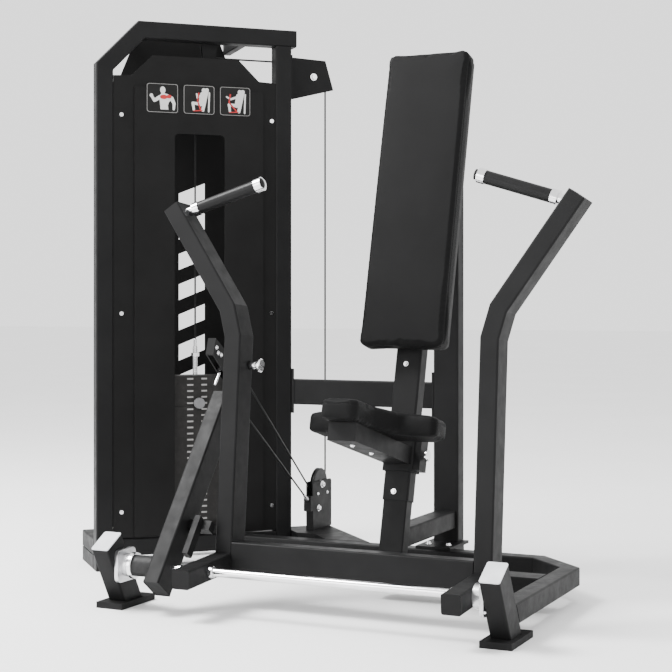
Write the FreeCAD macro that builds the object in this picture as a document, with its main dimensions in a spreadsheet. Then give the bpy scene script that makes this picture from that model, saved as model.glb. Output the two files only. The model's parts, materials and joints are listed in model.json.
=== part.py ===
import FreeCAD, Part
import math
import os
import Sketcher

# Chest press machine. Millimetres, +Z up, the user's side faces -Y, +X is to the user's left hand.
# Places are laid out from the middle of the two front feet and then moved to the machine's own
# origin, which is the centre of its footprint on the floor.

Vector = FreeCAD.Vector
Rotation = FreeCAD.Rotation
Placement = FreeCAD.Placement

DIMENSIONS = {
    # footprint centre, measured from the middle of the front feet
    "footprint_x": -172.53,
    "footprint_y": 468.96,
    # square and flat steel tubes
    "tube_wall": 3,
    "tube_round": 5,
    "frame_tube": 50,
    "frame_low": 41,
    "frame_high": 91,
    # front feet
    "foot_x": 521,
    "foot_plate_wide": 78,
    "foot_plate_long": 158,
    "foot_plate_thick": 16,
    "foot_lean": 29,
    "foot_post_y": 35,
    "foot_post_deep": 73,
    "foot_post_long": 161,
    # floor frame
    "side_back_y": 595,
    "rear_y": 690,
    "cross_y": 400,
    "cross_wide": 75,
    # leaning seat post
    "post_x": 95,
    "post_y": 380,
    "post_lean": 14.4,
    "post_wide": 74,
    "post_deep": 48,
    "post_foot_long": 200,
    "post_start": 173,
    "post_end": 1080,
    "post_foot_plate": 6,
    # rear upright and the beams that tie it
    "upright_y": 800,
    "upright_wide": 76,
    "upright_deep": 50,
    "upright_top": 1120,
    "spine_low": 138,
    "spine_high": 188,
    "spine_wide": 60,
    "strut_low": 985,
    "strut_high": 1035,
    "stabiliser_low": 476,
    "stabiliser_high": 553,
    "stabiliser_deep": 30,
    "flange_thick": 6,
    "flange_low": 450,
    "flange_high": 585,
    # back pad and its board, in the post's leaning frame
    "pad_front": -73.5,
    "pad_thick": 60,
    "pad_wide": 258,
    "pad_low": 567,
    "pad_high": 1425,
    "pad_corner": 25,
    # seat, in the post's leaning frame
    "seat_top": 369,
    "seat_thick": 55,
    "seat_front": -425,
    "seat_back": -82,
    "seat_nose_wide": 100,
    "seat_wide": 376,
    "bracket_low": 268,
    "bracket_wide": 75,
    "bracket_front": -372,
    "sleeve_wall": 6,
    "sleeve_gap": 0.6,
    "sleeve_low": 250,
    "sleeve_high": 344,
    "housing_wide": 18,
    # press arm, in its own frame: the pivot is the origin and the arm stands upright
    "arm_x": 87,
    "pivot_y": 30,
    "pivot_z": 112,
    "arm_lean": 5,
    "arm_wide": 48,
    "arm_deep": 75,
    "arm_front": 107.5,
    "arm_reach": 353,
    "arm_bend": 600,
    "arm_elbow_reach": 373,
    "arm_elbow": 673,
    "arm_top_reach": 560,
    "arm_top": 946,
    "shoe_front": -100,
    "beam_low": -6,
    "beam_tall": 74,
    "shaft_radius": 11,
    "shaft_end": 434,
    "grip_radius": 17,
    "grip_long": 176,
    "grip_slope": 17.3,
    "handle_radius": 13,
    "handle_start_x": 521,
    "handle_start_z": 936,
    "knob_height": 526,
    "knob_inset": 16,
    "knob_radius": 18,
    # lever that pulls the cable, in its own leaning frame
    "lever_x": -374,
    "lever_lean": 37.4,
    "lever_wide": 46,
    "lever_deep": 75,
    "lever_low": -60,
    "lever_high": 515,
    "hub_left": -548,
    "hub_long": 62,
    "hub_radius": 27,
    # weight tower, in its own frame: x runs along its front, y runs to its back
    "tower_turn": 45,
    "tower_left": -302,
    "tower_right": 298,
    "tower_front": 900,
    "tower_back": 1129,
    "tower_high": 1620,
    "tower_chamfer_x": -177,
    "tower_chamfer_z": 1491,
    "shroud_low": 95,
    "shroud_side_high": 1455,
    "shroud_high": 1520,
    "sheet_thick": 2,
    "slot_left": -69,
    "slot_right": 85,
    "slot_low": 125,
    "slot_high": 1290,
    "stack_x": 8,
    "stack_y": 954,
    "plate_wide": 280,
    "plate_deep": 86,
    "plate_pitch": 18.2,
    "plate_gap": 0.7,
    "stack_low": 113,
    "resting_count": 20,
    "lifted_count": 5,
    "guide_reach": 105,
    "guide_radius": 10,
    "rod_bar_low": 1400,
    "rod_radius": 7,
    "rod_rise": 68,
    "pin_radius": 4,
    "pin_grip_radius": 16,
    # cable and pulleys
    "cable_radius": 2.6,
    "cable_x": -374,
    "cable_clear": 0.4,
    "pulley_radius": 46,
    "base_pulley_radius": 50,
    "pulley_thick": 14,
    "pulley_bore": 6.3,
    "axle_radius": 6,
    "groove_deep": 7,
    "top_pulley_z": 1488,
    "base_pulley_z": 226,
    "base_bracket_high": 238,
    "base_bracket_front": 866,
    "base_bracket_back": 996,
    "bracket_thick": 4,
    "anchor_y": 850,
    "anchor_z": 187,
    "joint_z": 700,
    "lever_pulley_y": 385,
    "lever_pulley_z": 578,
    # shroud screws
    "screw_radius": 6,
    "screw_high": 3,
}


class Size:
    """A number together with the spreadsheet expression that gives it."""

    def __init__(self, text, number):
        self.text = text
        self.number = number

    def __float__(self):
        return float(self.number)

    def __add__(self, other):
        return Size(f"({self.text} + {written(other)})", self.number + float(other))

    def __radd__(self, other):
        return Size(f"({written(other)} + {self.text})", float(other) + self.number)

    def __sub__(self, other):
        return Size(f"({self.text} - {written(other)})", self.number - float(other))

    def __rsub__(self, other):
        return Size(f"({written(other)} - {self.text})", float(other) - self.number)

    def __mul__(self, other):
        return Size(f"({self.text} * {written(other)})", self.number * float(other))

    __rmul__ = __mul__

    def __truediv__(self, other):
        return Size(f"({self.text} / {written(other)})", self.number / float(other))

    def __neg__(self):
        return Size(f"(-{self.text})", -self.number)


def written(value):
    """The expression text of a size or a plain number."""
    return value.text if isinstance(value, Size) else repr(float(value))


doc = FreeCAD.newDocument("chest_press")
sheet = doc.addObject("Spreadsheet::Sheet", "sizes")


class Sizes:
    """The spreadsheet's cells, each read by its alias."""


dim = Sizes()
for row, (alias, number) in enumerate(DIMENSIONS.items(), 1):
    sheet.set(f"A{row}", alias)
    sheet.set(f"B{row}", str(number))
    sheet.setAlias(f"B{row}", alias)
    setattr(dim, alias, Size(f"sizes.{alias}", number))
doc.recompute()

AXES = {"x": Rotation(Vector(1, 1, 1), 120), "y": Rotation(Vector(1, 1, 1), 240), "z": Rotation()}

# Each station is a frame that some of the pieces are drawn in: a place, an axis and a turn.
STATIONS = {
    "floor": (0, 0, 0, Vector(0, 0, 1), 0),
    "feet": (0, dim.foot_post_y, dim.foot_plate_thick, Vector(1, 0, 0), dim.foot_lean),
    "post": (dim.post_x, dim.post_y, dim.frame_high + dim.post_foot_plate, Vector(-1, 0, 0), dim.post_lean),
    "arm": (dim.arm_x, dim.pivot_y, dim.pivot_z, Vector(-1, 0, 0), dim.arm_lean),
    "pivot": (dim.arm_x, dim.pivot_y, dim.pivot_z, Vector(1, 0, 0), 3),
    "lever": (dim.lever_x, dim.pivot_y, dim.pivot_z, Vector(-1, 0, 0), dim.lever_lean),
    "tower": (0, 0, 0, Vector(0, 0, 1), dim.tower_turn),
}

sub_parts = []


def bind(thing, path, value):
    """Ties one property of a document object to a size."""
    thing.setExpression(path, written(value))


def sub_part(label, station, *pieces):
    """Gathers the pieces under one label and sets them down at their station."""
    group = doc.addObject("Part::Compound", label)
    group.Label = label
    group.Links = list(pieces)
    x, y, z, axis, turn = STATIONS[station]
    group.Placement = Placement(Vector(0, 0, 0), Rotation(axis, float(turn)))
    bind(group, "Placement.Base.x", x - dim.footprint_x)
    bind(group, "Placement.Base.y", y - dim.footprint_y)
    bind(group, "Placement.Base.z", z)
    if isinstance(turn, Size):
        bind(group, "Placement.Rotation.Angle", turn)
    sub_parts.append(group)
    return group


def box(name, x, y, z):
    """A block, each of x, y and z a (low, high) pair."""
    block = doc.addObject("Part::Box", name)
    for side, letter, (low, high) in zip(("Length", "Width", "Height"), "xyz", (x, y, z)):
        bind(block, side, high - low)
        bind(block, f"Placement.Base.{letter}", low)
    return block


def stand(thing, axis, centre, low):
    """Turns a piece drawn along Z to lie along an axis, at a centre given on the next two axes."""
    thing.Placement = Placement(Vector(0, 0, 0), AXES[axis])
    order = {"x": "yzx", "y": "zxy", "z": "xyz"}[axis]
    for letter, value in zip(order, (centre[0], centre[1], low)):
        bind(thing, f"Placement.Base.{letter}", value)


def rod(name, axis, centre, low, high, radius):
    """A round bar along an axis; its centre is given on the next two axes in turn."""
    bar = doc.addObject("Part::Cylinder", name)
    bind(bar, "Radius", radius)
    bind(bar, "Height", high - low)
    stand(bar, axis, centre, low)
    return bar


def cut(name, base, *tools):
    """The base with the tools taken away, checked to have lost material."""
    whole = base
    for number, tool in enumerate(tools):
        part = doc.addObject("Part::Cut", f"{name}_{number}")
        part.Base = whole
        part.Tool = tool
        whole = part
    doc.recompute()
    assert whole.Shape.Volume < base.Shape.Volume - 1, f"{name} cuts nothing"
    return whole


def fuse(name, *pieces):
    """Several pieces joined as one solid."""
    joined = doc.addObject("Part::MultiFuse", name)
    joined.Shapes = list(pieces)
    joined.Refine = True
    return joined


def new_sketch(name, role="XY_Plane"):
    """An empty body with a sketch on one of its own planes."""
    body = doc.addObject("PartDesign::Body", name)
    sketch = body.newObject("Sketcher::SketchObject", f"{name}_outline")
    plane = [feature for feature in body.Origin.OriginFeatures if feature.Role == role][0]
    sketch.AttachmentSupport = [(plane, "")]
    sketch.MapMode = "FlatFace"
    return body, sketch


def fix_size(sketch, label, constraint, value):
    """Adds a named dimension to a sketch and ties it to its size."""
    index = sketch.addConstraint(constraint)
    sketch.renameConstraint(index, label)
    if isinstance(value, Size):
        sketch.setExpression(f"Constraints.{label}", value.text)


def rounded_loop(sketch, tag, width, depth, radius):
    """Draws a rounded rectangle centred on the sketch's origin."""
    w, d, r = float(width) / 2, float(depth) / 2, float(radius)
    first = sketch.GeometryCount
    sides = (((r - w, -d), (w - r, -d)), ((w, r - d), (w, d - r)), ((w - r, d), (r - w, d)), ((-w, d - r), (-w, r - d)))
    corners = ((w - r, r - d), (w - r, d - r), (r - w, d - r), (r - w, r - d))
    for start, end in sides:
        sketch.addGeometry(Part.LineSegment(Vector(*start), Vector(*end)))
    for number, centre in enumerate(corners):
        start = math.radians(270 + 90 * number)
        circle = Part.Circle(Vector(*centre), Vector(0, 0, 1), r)
        sketch.addGeometry(Part.ArcOfCircle(circle, start, start + math.pi / 2))
    for number in range(4):
        side, corner = first + number, first + 4 + number
        sketch.addConstraint(Sketcher.Constraint("Tangent", side, 2, corner, 1))
        sketch.addConstraint(Sketcher.Constraint("Tangent", corner, 2, first + (number + 1) % 4, 1))
        sketch.addConstraint(Sketcher.Constraint("Vertical" if number % 2 else "Horizontal", side))
        if number:
            sketch.addConstraint(Sketcher.Constraint("Equal", first + 4, corner))
    sketch.addConstraint(Sketcher.Constraint("Symmetric", first + 4, 3, first + 6, 3, -1, 1))
    fix_size(sketch, f"{tag}_wide", Sketcher.Constraint("DistanceX", first + 3, 1, first + 1, 1, 2 * w), width)
    fix_size(sketch, f"{tag}_deep", Sketcher.Constraint("DistanceY", first, 1, first + 2, 1, 2 * d), depth)
    fix_size(sketch, f"{tag}_round", Sketcher.Constraint("Radius", first + 4, r), radius)


def tube(name, axis, centre, width, depth, low, high, wall=dim.tube_wall, radius=dim.tube_round):
    """A rectangular tube with rounded edges; width and depth lie on the next two axes in turn."""
    body, sketch = new_sketch(name)
    rounded_loop(sketch, "outer", width, depth, radius)
    if wall:
        rounded_loop(sketch, "inner", width - 2 * wall, depth - 2 * wall, radius - wall)
    pad = body.newObject("PartDesign::Pad", f"{name}_length")
    pad.Profile = sketch
    bind(pad, "Length", high - low)
    stand(body, axis, centre, low)
    return body


def polygon(sketch, points):
    """Draws a closed outline through the points and fixes each one from the sketch's origin."""
    count = len(points)
    first = sketch.GeometryCount
    for number, point in enumerate(points):
        start = Vector(float(point[0]), float(point[1]))
        after = points[(number + 1) % count]
        sketch.addGeometry(Part.LineSegment(start, Vector(float(after[0]), float(after[1]))))
    for number, point in enumerate(points):
        line = first + number
        sketch.addConstraint(Sketcher.Constraint("Coincident", line, 2, first + (number + 1) % count, 1))
        for kind, crossing, value in (("DistanceX", -2, point[0]), ("DistanceY", -1, point[1])):
            if abs(float(value)) < 1e-6:
                sketch.addConstraint(Sketcher.Constraint("PointOnObject", line, 1, crossing))
            else:
                constraint = Sketcher.Constraint(kind, -1, 1, line, 1, float(value))
                fix_size(sketch, f"{kind[-1]}{line}", constraint, value)


def prism(name, axis, points, low, high, soft=0, soft_over=0):
    """A plate or bar of the given outline, drawn on the two axes after its own.

    Its rim edges longer than soft_over are rounded by soft.
    """
    body, sketch = new_sketch(name)
    polygon(sketch, points)
    pad = body.newObject("PartDesign::Pad", f"{name}_length")
    pad.Profile = sketch
    bind(pad, "Length", high - low)
    if soft:
        doc.recompute()
        rim = [
            f"Edge{number}"
            for number, edge in enumerate(pad.Shape.Edges, 1)
            if edge.BoundBox.ZLength < 1e-6 and edge.Length > soft_over
        ]
        rounding = body.newObject("PartDesign::Fillet", f"{name}_rounding")
        rounding.Base = (pad, rim)
        bind(rounding, "Radius", soft)
    stand(body, axis, (0, 0), low)
    return body


def turned(name, axis, centre, low, outline):
    """A turned piece: the outline holds (radius, height) points, spun about the piece's axis."""
    body, sketch = new_sketch(name, "XZ_Plane")
    polygon(sketch, outline)
    spin = body.newObject("PartDesign::Revolution", f"{name}_spin")
    spin.Profile = sketch
    spin.ReferenceAxis = (sketch, ["V_Axis"])
    spin.Angle = 360
    stand(body, axis, centre, low)
    return body


def band(points, width):
    """The outline of a bar of one width whose middle runs through the points."""
    half = float(width) / 2
    path = [Vector(float(x), float(y)) for x, y in points]
    ways = [(after - before).normalize() for before, after in zip(path, path[1:])]
    sides = [Vector(-way.y, way.x) for way in ways]
    left, right = [], []
    for number, point in enumerate(path):
        before = sides[max(number - 1, 0)]
        after = sides[min(number, len(sides) - 1)]
        shift = (before + after) * (half / (1 + before.dot(after)))
        left.append(point + shift)
        right.append(point - shift)
    return [(point.x, point.y) for point in right + left[::-1]]


def trim(name, piece, x, y, z, axis=Vector(0, 0, 1), turn=0):
    """Cuts away everything inside a block, given by its corners and turned about the origin."""
    block = doc.addObject("Part::Box", f"{name}_trim")
    low, high = zip(x, y, z)
    low, high = Vector(*map(float, low)), Vector(*map(float, high))
    block.Length, block.Width, block.Height = high - low
    rotation = Rotation(axis, float(turn))
    block.Placement = Placement(rotation.multVec(low), rotation)
    return cut(name, piece, block)


FAR = 2000
WHOLE = (-FAR, FAR)


def within(low, high):
    """The space inside a tube's two walls."""
    return low + dim.tube_wall, high - dim.tube_wall


# ---------------------------------------------------------------- front feet

def front_feet():
    half = dim.foot_plate_wide / 2
    plates = []
    for side, x in (("left", -dim.foot_x), ("right", dim.foot_x)):
        plates.append(box(f"{side}_plate", (x - half, x + half), (0, dim.foot_plate_long), (0, dim.foot_plate_thick)))
    sub_part("foot_plates", "floor", *plates)
    posts, caps = [], []
    deep, top = dim.foot_post_deep, dim.foot_post_long
    for side, x in (("left", -dim.foot_x), ("right", dim.foot_x)):
        # the post leans forward; its lower end is cut level where it stands on the plate
        post = tube(f"{side}_post_tube", "z", (x, deep / 2), dim.frame_tube, deep, -60, top)
        posts.append(trim(f"{side}_post_cut", post, (-FAR, FAR), (-200, 300), (-200, 0), Vector(-1, 0, 0),
                          dim.foot_lean))
        caps.append(tube(f"{side}_cap", "z", (x, deep / 2), dim.frame_tube, deep, top, top + 3, wall=None))
    sub_part("foot_posts", "feet", *posts)
    sub_part("foot_post_caps", "feet", *caps)


# ---------------------------------------------------------------- floor frame

def floor_frame():
    low, high = dim.frame_low, dim.frame_high
    half = dim.frame_tube / 2
    right = dim.foot_x
    # the side tube starts against the leaning foot post and is mitred into the corner tube
    corner_slope = math.tan(math.radians(22.5))
    back = float(dim.side_back_y)
    reach = float(half) * corner_slope
    outer, inner = float(right + half), float(right - half)
    side = prism("side_bar", "z", [(inner, 40), (outer, 40), (outer, back + reach), (inner, back - reach)],
                 low, high, dim.tube_round, 60)
    lean = dim.foot_lean
    start = Vector(0, float(dim.foot_post_y), float(dim.foot_plate_thick))
    shift = Rotation(Vector(1, 0, 0), float(lean)).inverted().multVec(start)
    deep = float(dim.foot_post_deep)
    side = trim("side_hollow", side, within(inner, outer), WHOLE, within(low, high))
    side = trim("side_start", side, (400, 600), (shift.y - 200, shift.y + deep), (-300, 400), Vector(1, 0, 0), lean)
    sub_part("side_tube", "floor", side)
    rear = float(dim.rear_y + half)
    # the corner tube runs at 45 degrees to the middle of the rear tube
    run = rear - back
    corner_x = float(right) - run
    corner = [
        (inner, back - reach), (outer, back + reach),
        (corner_x + reach, rear + float(half)), (corner_x - reach, rear - float(half)),
    ]
    sub_part("corner_tube", "floor", prism("corner_bar", "z", corner, low, high, dim.tube_round, 60))
    # the rear tube ends at 45 degrees against the tower's front rail
    face = float(dim.tower_front) * math.sqrt(2)
    front_y, back_y = rear - float(half), rear + float(half)
    rear_outline = [
        (front_y - face, front_y), (corner_x - reach, front_y), (corner_x + reach, back_y), (back_y - face, back_y),
    ]
    rear_bar = prism("rear_bar", "z", rear_outline, low, high, dim.tube_round, 100)
    sub_part("rear_tube", "floor", trim("rear_hollow", rear_bar, WHOLE, within(front_y, back_y), within(low, high)))
    # the cross tube carries the seat post on a plate, and reaches it from the side tube
    cross_y = dim.cross_y + dim.cross_wide / 2
    end = dim.post_x - 60
    cross = tube("cross_bar", "x", (cross_y, (low + high) / 2), dim.cross_wide, high - low, end, right - half)
    plate = box("post_plate", (dim.post_x - 52, dim.post_x + 52), (dim.cross_y - 24, dim.cross_y + dim.cross_wide),
                (high, high + dim.post_foot_plate))
    sub_part("cross_tube", "floor", cross, plate)


def pulley_beam():
    # a wide short beam, square to the tower, carries the floor pulley behind the rear tube
    left, right, back = 340, 440, 972
    meet = float(dim.rear_y + dim.frame_tube) * math.sqrt(2)
    post = dim.tower_right
    outline = [(right, meet - right), (right, back), (post, back), (post, 850), (left, 808), (left, meet - left)]
    low, high = dim.frame_low, dim.frame_high
    beam = prism("pulley_bar", "z", outline, low, high)
    hollow = trim("pulley_bar_hollow", beam, within(left, right), (0, back - dim.tube_wall), within(low, high))
    sub_part("pulley_beam", "tower", hollow)


# ---------------------------------------------------------------- seat post and rear upright

def seat_post():
    lean = dim.post_lean
    wall = dim.tube_wall
    inner_wide, inner_deep = dim.post_wide - 2 * wall, dim.post_deep - 2 * wall
    lower = tube("lower_post", "z", (0, dim.post_deep / 2), inner_wide, inner_deep, -40, dim.post_foot_long,
                 radius=dim.tube_round - 1)
    lower = trim("lower_post_cut", lower, (-60, 60), (-200, 300), (-200, 0), Vector(1, 0, 0), lean)
    sub_part("post_foot_tube", "post", lower)
    upper = tube("upper_post", "z", (0, dim.post_deep / 2), dim.post_wide, dim.post_deep, dim.post_start, dim.post_end,
                 radius=dim.tube_round + 1)
    sub_part("seat_post", "post", upper)


def post_back_y(height, deep):
    """Where the leaning post has its back face at a height over the floor; deep is that face's depth."""
    lean = math.radians(float(dim.post_lean))
    rise = float(height) - float(dim.frame_high + dim.post_foot_plate)
    return float(dim.post_y) + float(deep) / math.cos(lean) + math.tan(lean) * rise


def rear_upright():
    x_low, x_high = dim.post_x - dim.upright_wide / 2, dim.post_x + dim.upright_wide / 2
    middle = (dim.post_x, dim.upright_y + dim.upright_deep / 2)
    column = tube("upright_bar", "z", middle, dim.upright_wide, dim.upright_deep, dim.frame_high + 8, dim.upright_top)
    sub_part("rear_upright", "floor", column)
    foot = box("upright_plate", (x_low - 14, x_high + 14), (dim.rear_y + 8, dim.upright_y + dim.upright_deep),
               (dim.frame_high, dim.frame_high + 8))
    stub = tube("upright_stub", "y", ((dim.frame_low + dim.frame_high) / 2, dim.post_x),
                dim.frame_high - dim.frame_low, dim.upright_wide,
                dim.rear_y + dim.frame_tube, dim.upright_y + dim.upright_deep)
    sub_part("upright_foot", "floor", foot, stub)
    half = dim.spine_wide / 2
    low, high = dim.spine_low, dim.spine_high
    # both ends that meet the leaning post follow its back face
    for label, bottom, top, deep in (
        ("spine_beam", low, high, dim.post_deep - dim.tube_wall),
        ("top_strut", dim.strut_low, dim.strut_high, dim.post_deep),
    ):
        outline = [(post_back_y(bottom, deep), bottom), (dim.upright_y, bottom), (dim.upright_y, top),
                   (post_back_y(top, deep), top)]
        left, right = dim.post_x - half, dim.post_x + half
        beam = prism(label + "_bar", "x", outline, left, right, dim.tube_round, 80)
        sub_part(label, "floor", trim(f"{label}_hollow", beam, within(left, right), WHOLE, within(bottom, top)))


def stabiliser():
    # a flat beam runs behind the upright's back face, from a plate on the upright's left side to a
    # plate on the tower's right post, whose face it meets at 45 degrees
    front = dim.upright_y + dim.upright_deep
    back = front + dim.stabiliser_deep
    low, high = dim.stabiliser_low, dim.stabiliser_high
    upright_left = dim.post_x - dim.upright_wide / 2
    end = upright_left - dim.flange_thick
    face = float(dim.tower_right) * math.sqrt(2)
    plate = float(dim.flange_thick) * math.sqrt(2)
    outline = [(face + plate - float(front), front), (end, front), (end, back), (face + plate - float(back), back)]
    beam = prism("stabiliser_bar", "z", outline, low, high, dim.tube_round, 100)
    beam = trim("stabiliser_hollow", beam, (-FAR, end - dim.tube_wall), within(front, back), within(low, high))
    flange_front, flange_back = float(front) - 2, float(back) + 28
    tower_plate = prism("stabiliser_tower_plate", "z", [
        (face - flange_front, flange_front), (face + plate - flange_front, flange_front),
        (face + plate - flange_back, flange_back), (face - flange_back, flange_back),
    ], dim.flange_low, dim.flange_high)
    upright_plate = box("stabiliser_upright_plate", (end, upright_left), (dim.upright_y + 2, back + 4),
                        (dim.flange_low, dim.flange_high))
    sub_part("stabiliser_beam", "floor", beam, tower_plate, upright_plate)


# ---------------------------------------------------------------- pads

def back_pad():
    half = dim.pad_wide / 2
    front, back = dim.pad_front, dim.pad_front + dim.pad_thick
    pad = tube("back_cushion", "y", ((dim.pad_low + dim.pad_high) / 2, 0), dim.pad_high - dim.pad_low, dim.pad_wide,
               front, back, wall=None, radius=dim.pad_corner)
    sub_part("back_pad", "post", pad)
    board = tube("back_plywood", "y", ((dim.pad_low + dim.pad_high) / 2, 0), dim.pad_high - dim.pad_low - 30,
                 dim.pad_wide - 30, back, 0, wall=None, radius=dim.pad_corner - 12)
    sub_part("back_board", "post", board)


def seat():
    nose, wide = dim.seat_nose_wide / 2, dim.seat_wide / 2
    front, back = dim.seat_front, dim.seat_back
    outline = [
        (-nose + 14, front), (nose - 14, front), (nose, front + 14), (nose + 6, front + 120), (nose + 50, front + 205),
        (wide - 12, front + 222), (wide, front + 236), (wide - 8, back - 30), (wide - 40, back),
        (-wide + 40, back), (-wide + 8, back - 30), (-wide, front + 236), (-wide + 12, front + 222),
        (-nose - 50, front + 205), (-nose - 6, front + 120), (-nose, front + 14),
    ]
    top = dim.seat_top
    pad = prism("seat_cushion", "z", outline, top - dim.seat_thick, top)
    sub_part("seat_pad", "post", pad)
    gap = dim.sleeve_gap
    wall = dim.sleeve_wall
    wide_out = dim.post_wide + 2 * gap + 2 * wall
    deep_out = dim.post_deep + 2 * gap + 2 * wall
    middle = (0, dim.post_deep / 2)
    sleeve = tube("sleeve_tube", "z", middle, wide_out, deep_out, dim.sleeve_low, dim.sleeve_high, wall=wall,
                  radius=dim.tube_round + 3)
    bracket_half = dim.bracket_wide / 2
    sleeve_front = -gap - wall
    bracket_top = dim.seat_top - dim.seat_thick
    arm = box("seat_bracket_box", (-bracket_half, bracket_half), (dim.bracket_front, sleeve_front),
              (dim.bracket_low, bracket_top))
    # the bracket is folded from plate and stays open under the pad
    sheet = dim.tube_wall
    arm = trim("seat_bracket_fold", arm, within(-bracket_half, bracket_half),
               (dim.bracket_front + sheet, sleeve_front - sheet), (dim.bracket_low + sheet, bracket_top + sheet))
    # the pull pin's housing stands on the sleeve's right side
    side = dim.post_wide / 2 + gap + wall
    knob_z = (dim.sleeve_low + dim.sleeve_high) / 2
    outer = side + dim.housing_wide
    housing = box("pin_housing", (side, outer), (0, dim.post_deep), (dim.sleeve_low + 4, dim.sleeve_high + 12))
    sub_part("seat_carriage", "post", fuse("carriage", sleeve, arm, housing))
    stem = rod("pin_stem", "x", (dim.post_deep / 2, knob_z), outer + 0.3, outer + 5, 5)
    head = turned("pin_head", "x", (dim.post_deep / 2, knob_z), outer + 5,
                  [(0, 0), (13, 0), (16, 3), (16, 7), (12, 10), (0, 10)])
    sub_part("seat_pull_pin", "post", fuse("seat_pin", stem, head))


# ---------------------------------------------------------------- press arm

def arm_outline(side, width, low, cap):
    """The arm's bent outline, seen from the front; cap shortens its upper end."""
    top_reach, top = dim.arm_top_reach - cap * 0.57, dim.arm_top - cap * 0.82
    reach = [(dim.arm_reach, low), (dim.arm_reach, dim.arm_bend), (dim.arm_elbow_reach, dim.arm_elbow),
             (top_reach, top)]
    points = band([(side * float(x), float(z)) for x, z in reach], width)
    return [(z, x) for x, z in points]


def press_arm():
    front, back = dim.arm_front, dim.arm_front + dim.arm_deep
    half = dim.arm_wide / 2
    bars = []
    for label, side in (("left_arm", -1), ("right_arm", 1)):
        wall = dim.tube_wall
        bar = prism(label + "_bar", "y", arm_outline(side, dim.arm_wide, 30, 0), front, back, dim.tube_round, 60)
        bars.append(bar)
        inside = prism(label + "_inside", "y", arm_outline(side, dim.arm_wide - 2 * wall, 0, wall),
                       front + wall, back - wall)
        bar = cut(label + "_hollow", bar, inside)
        if side < 0:
            # the barrel of the spring pin that locks the arm's starting place
            face = half - dim.arm_reach
            barrel = rod("arm_pin_barrel", "x", (back - dim.knob_inset, dim.knob_height), face, face + 5, 12)
            bar = fuse("left_arm_body", bar, barrel)
        sub_part(label, "arm", bar)
    # each arm stands on a shoe that runs forward under it and over the pivot shaft
    shoes = []
    for number, reach in enumerate((-dim.arm_reach, dim.arm_reach)):
        shoe = tube(f"shoe_{number}", "y", (0, reach), dim.arm_wide, dim.arm_wide, dim.shoe_front, back, wall=None)
        bore = rod(f"shoe_bore_{number}", "x", (0, 0), -FAR, FAR, dim.shaft_radius)
        shoes.append(cut(f"shoe_cut_{number}", shoe, bore))
    trimmed = []
    for number, shoe in enumerate(shoes):
        # the top of the shoe is cut to the arm's foot
        trimmed.append(trim(f"shoe_top_{number}", shoe, (-FAR, FAR), (front, FAR), (30, 300), Vector(-1, 0, 0),
                            dim.arm_lean + 3))
    sub_part("arm_shoes", "pivot", *trimmed)
    inner = dim.arm_reach - half
    beam = tube("beam", "x", ((front + back) / 2, dim.beam_low + dim.beam_tall / 2), dim.arm_deep, dim.beam_tall,
                -inner, inner)
    sub_part("cross_beam", "arm", beam)
    shaft = rod("shaft", "x", (0, 0), -float(dim.arm_x) - float(dim.foot_x) + 25, dim.shaft_end - 25, dim.shaft_radius)
    sub_part("pivot_shaft", "arm", shaft)
    return bars


def handles(arms):
    slope = float(dim.grip_slope)
    bars, grips = [], []
    y = float(dim.arm_front + dim.arm_deep / 2)
    for side, arm in zip((-1, 1), arms):
        # the handle leaves the arm's inner face and rises towards the middle
        start = Vector(side * float(dim.handle_start_x), y, float(dim.handle_start_z))
        way = Vector(-side * math.cos(math.radians(slope)), 0, math.sin(math.radians(slope)))
        turn = Rotation(Vector(0, 0, 1), way)
        long = float(dim.grip_long)

        def lay(thing, distance):
            thing.Placement = Placement(start + way * distance, turn)
            return thing

        def round_bar(name, distance, length, radius, bore=0):
            bar = doc.addObject("Part::Cylinder", f"{name}_{side + 1}")
            bar.Height = length
            bind(bar, "Radius", radius)
            lay(bar, distance)
            if not bore:
                return bar
            hole = doc.addObject("Part::Cylinder", f"{name}_hole_{side + 1}")
            hole.Height = length
            bind(hole, "Radius", bore)
            lay(hole, distance)
            return cut(f"{name}_ring_{side + 1}", bar, hole)

        bar = round_bar("bar", -14, long + 72, dim.handle_radius)
        collar = round_bar("collar", 16, 18, dim.grip_radius + 2)
        cap = round_bar("cap", long + 34, 20, dim.grip_radius + 2)
        bars.append(cut(f"handle_{side + 1}", fuse(f"handle_whole_{side + 1}", bar, collar, cap), arm))
        grips.append(round_bar("grip", 34, long, dim.grip_radius, dim.handle_radius))
    sub_part("handle_bars", "arm", *bars)
    sub_part("handle_grips", "arm", *grips)


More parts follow.
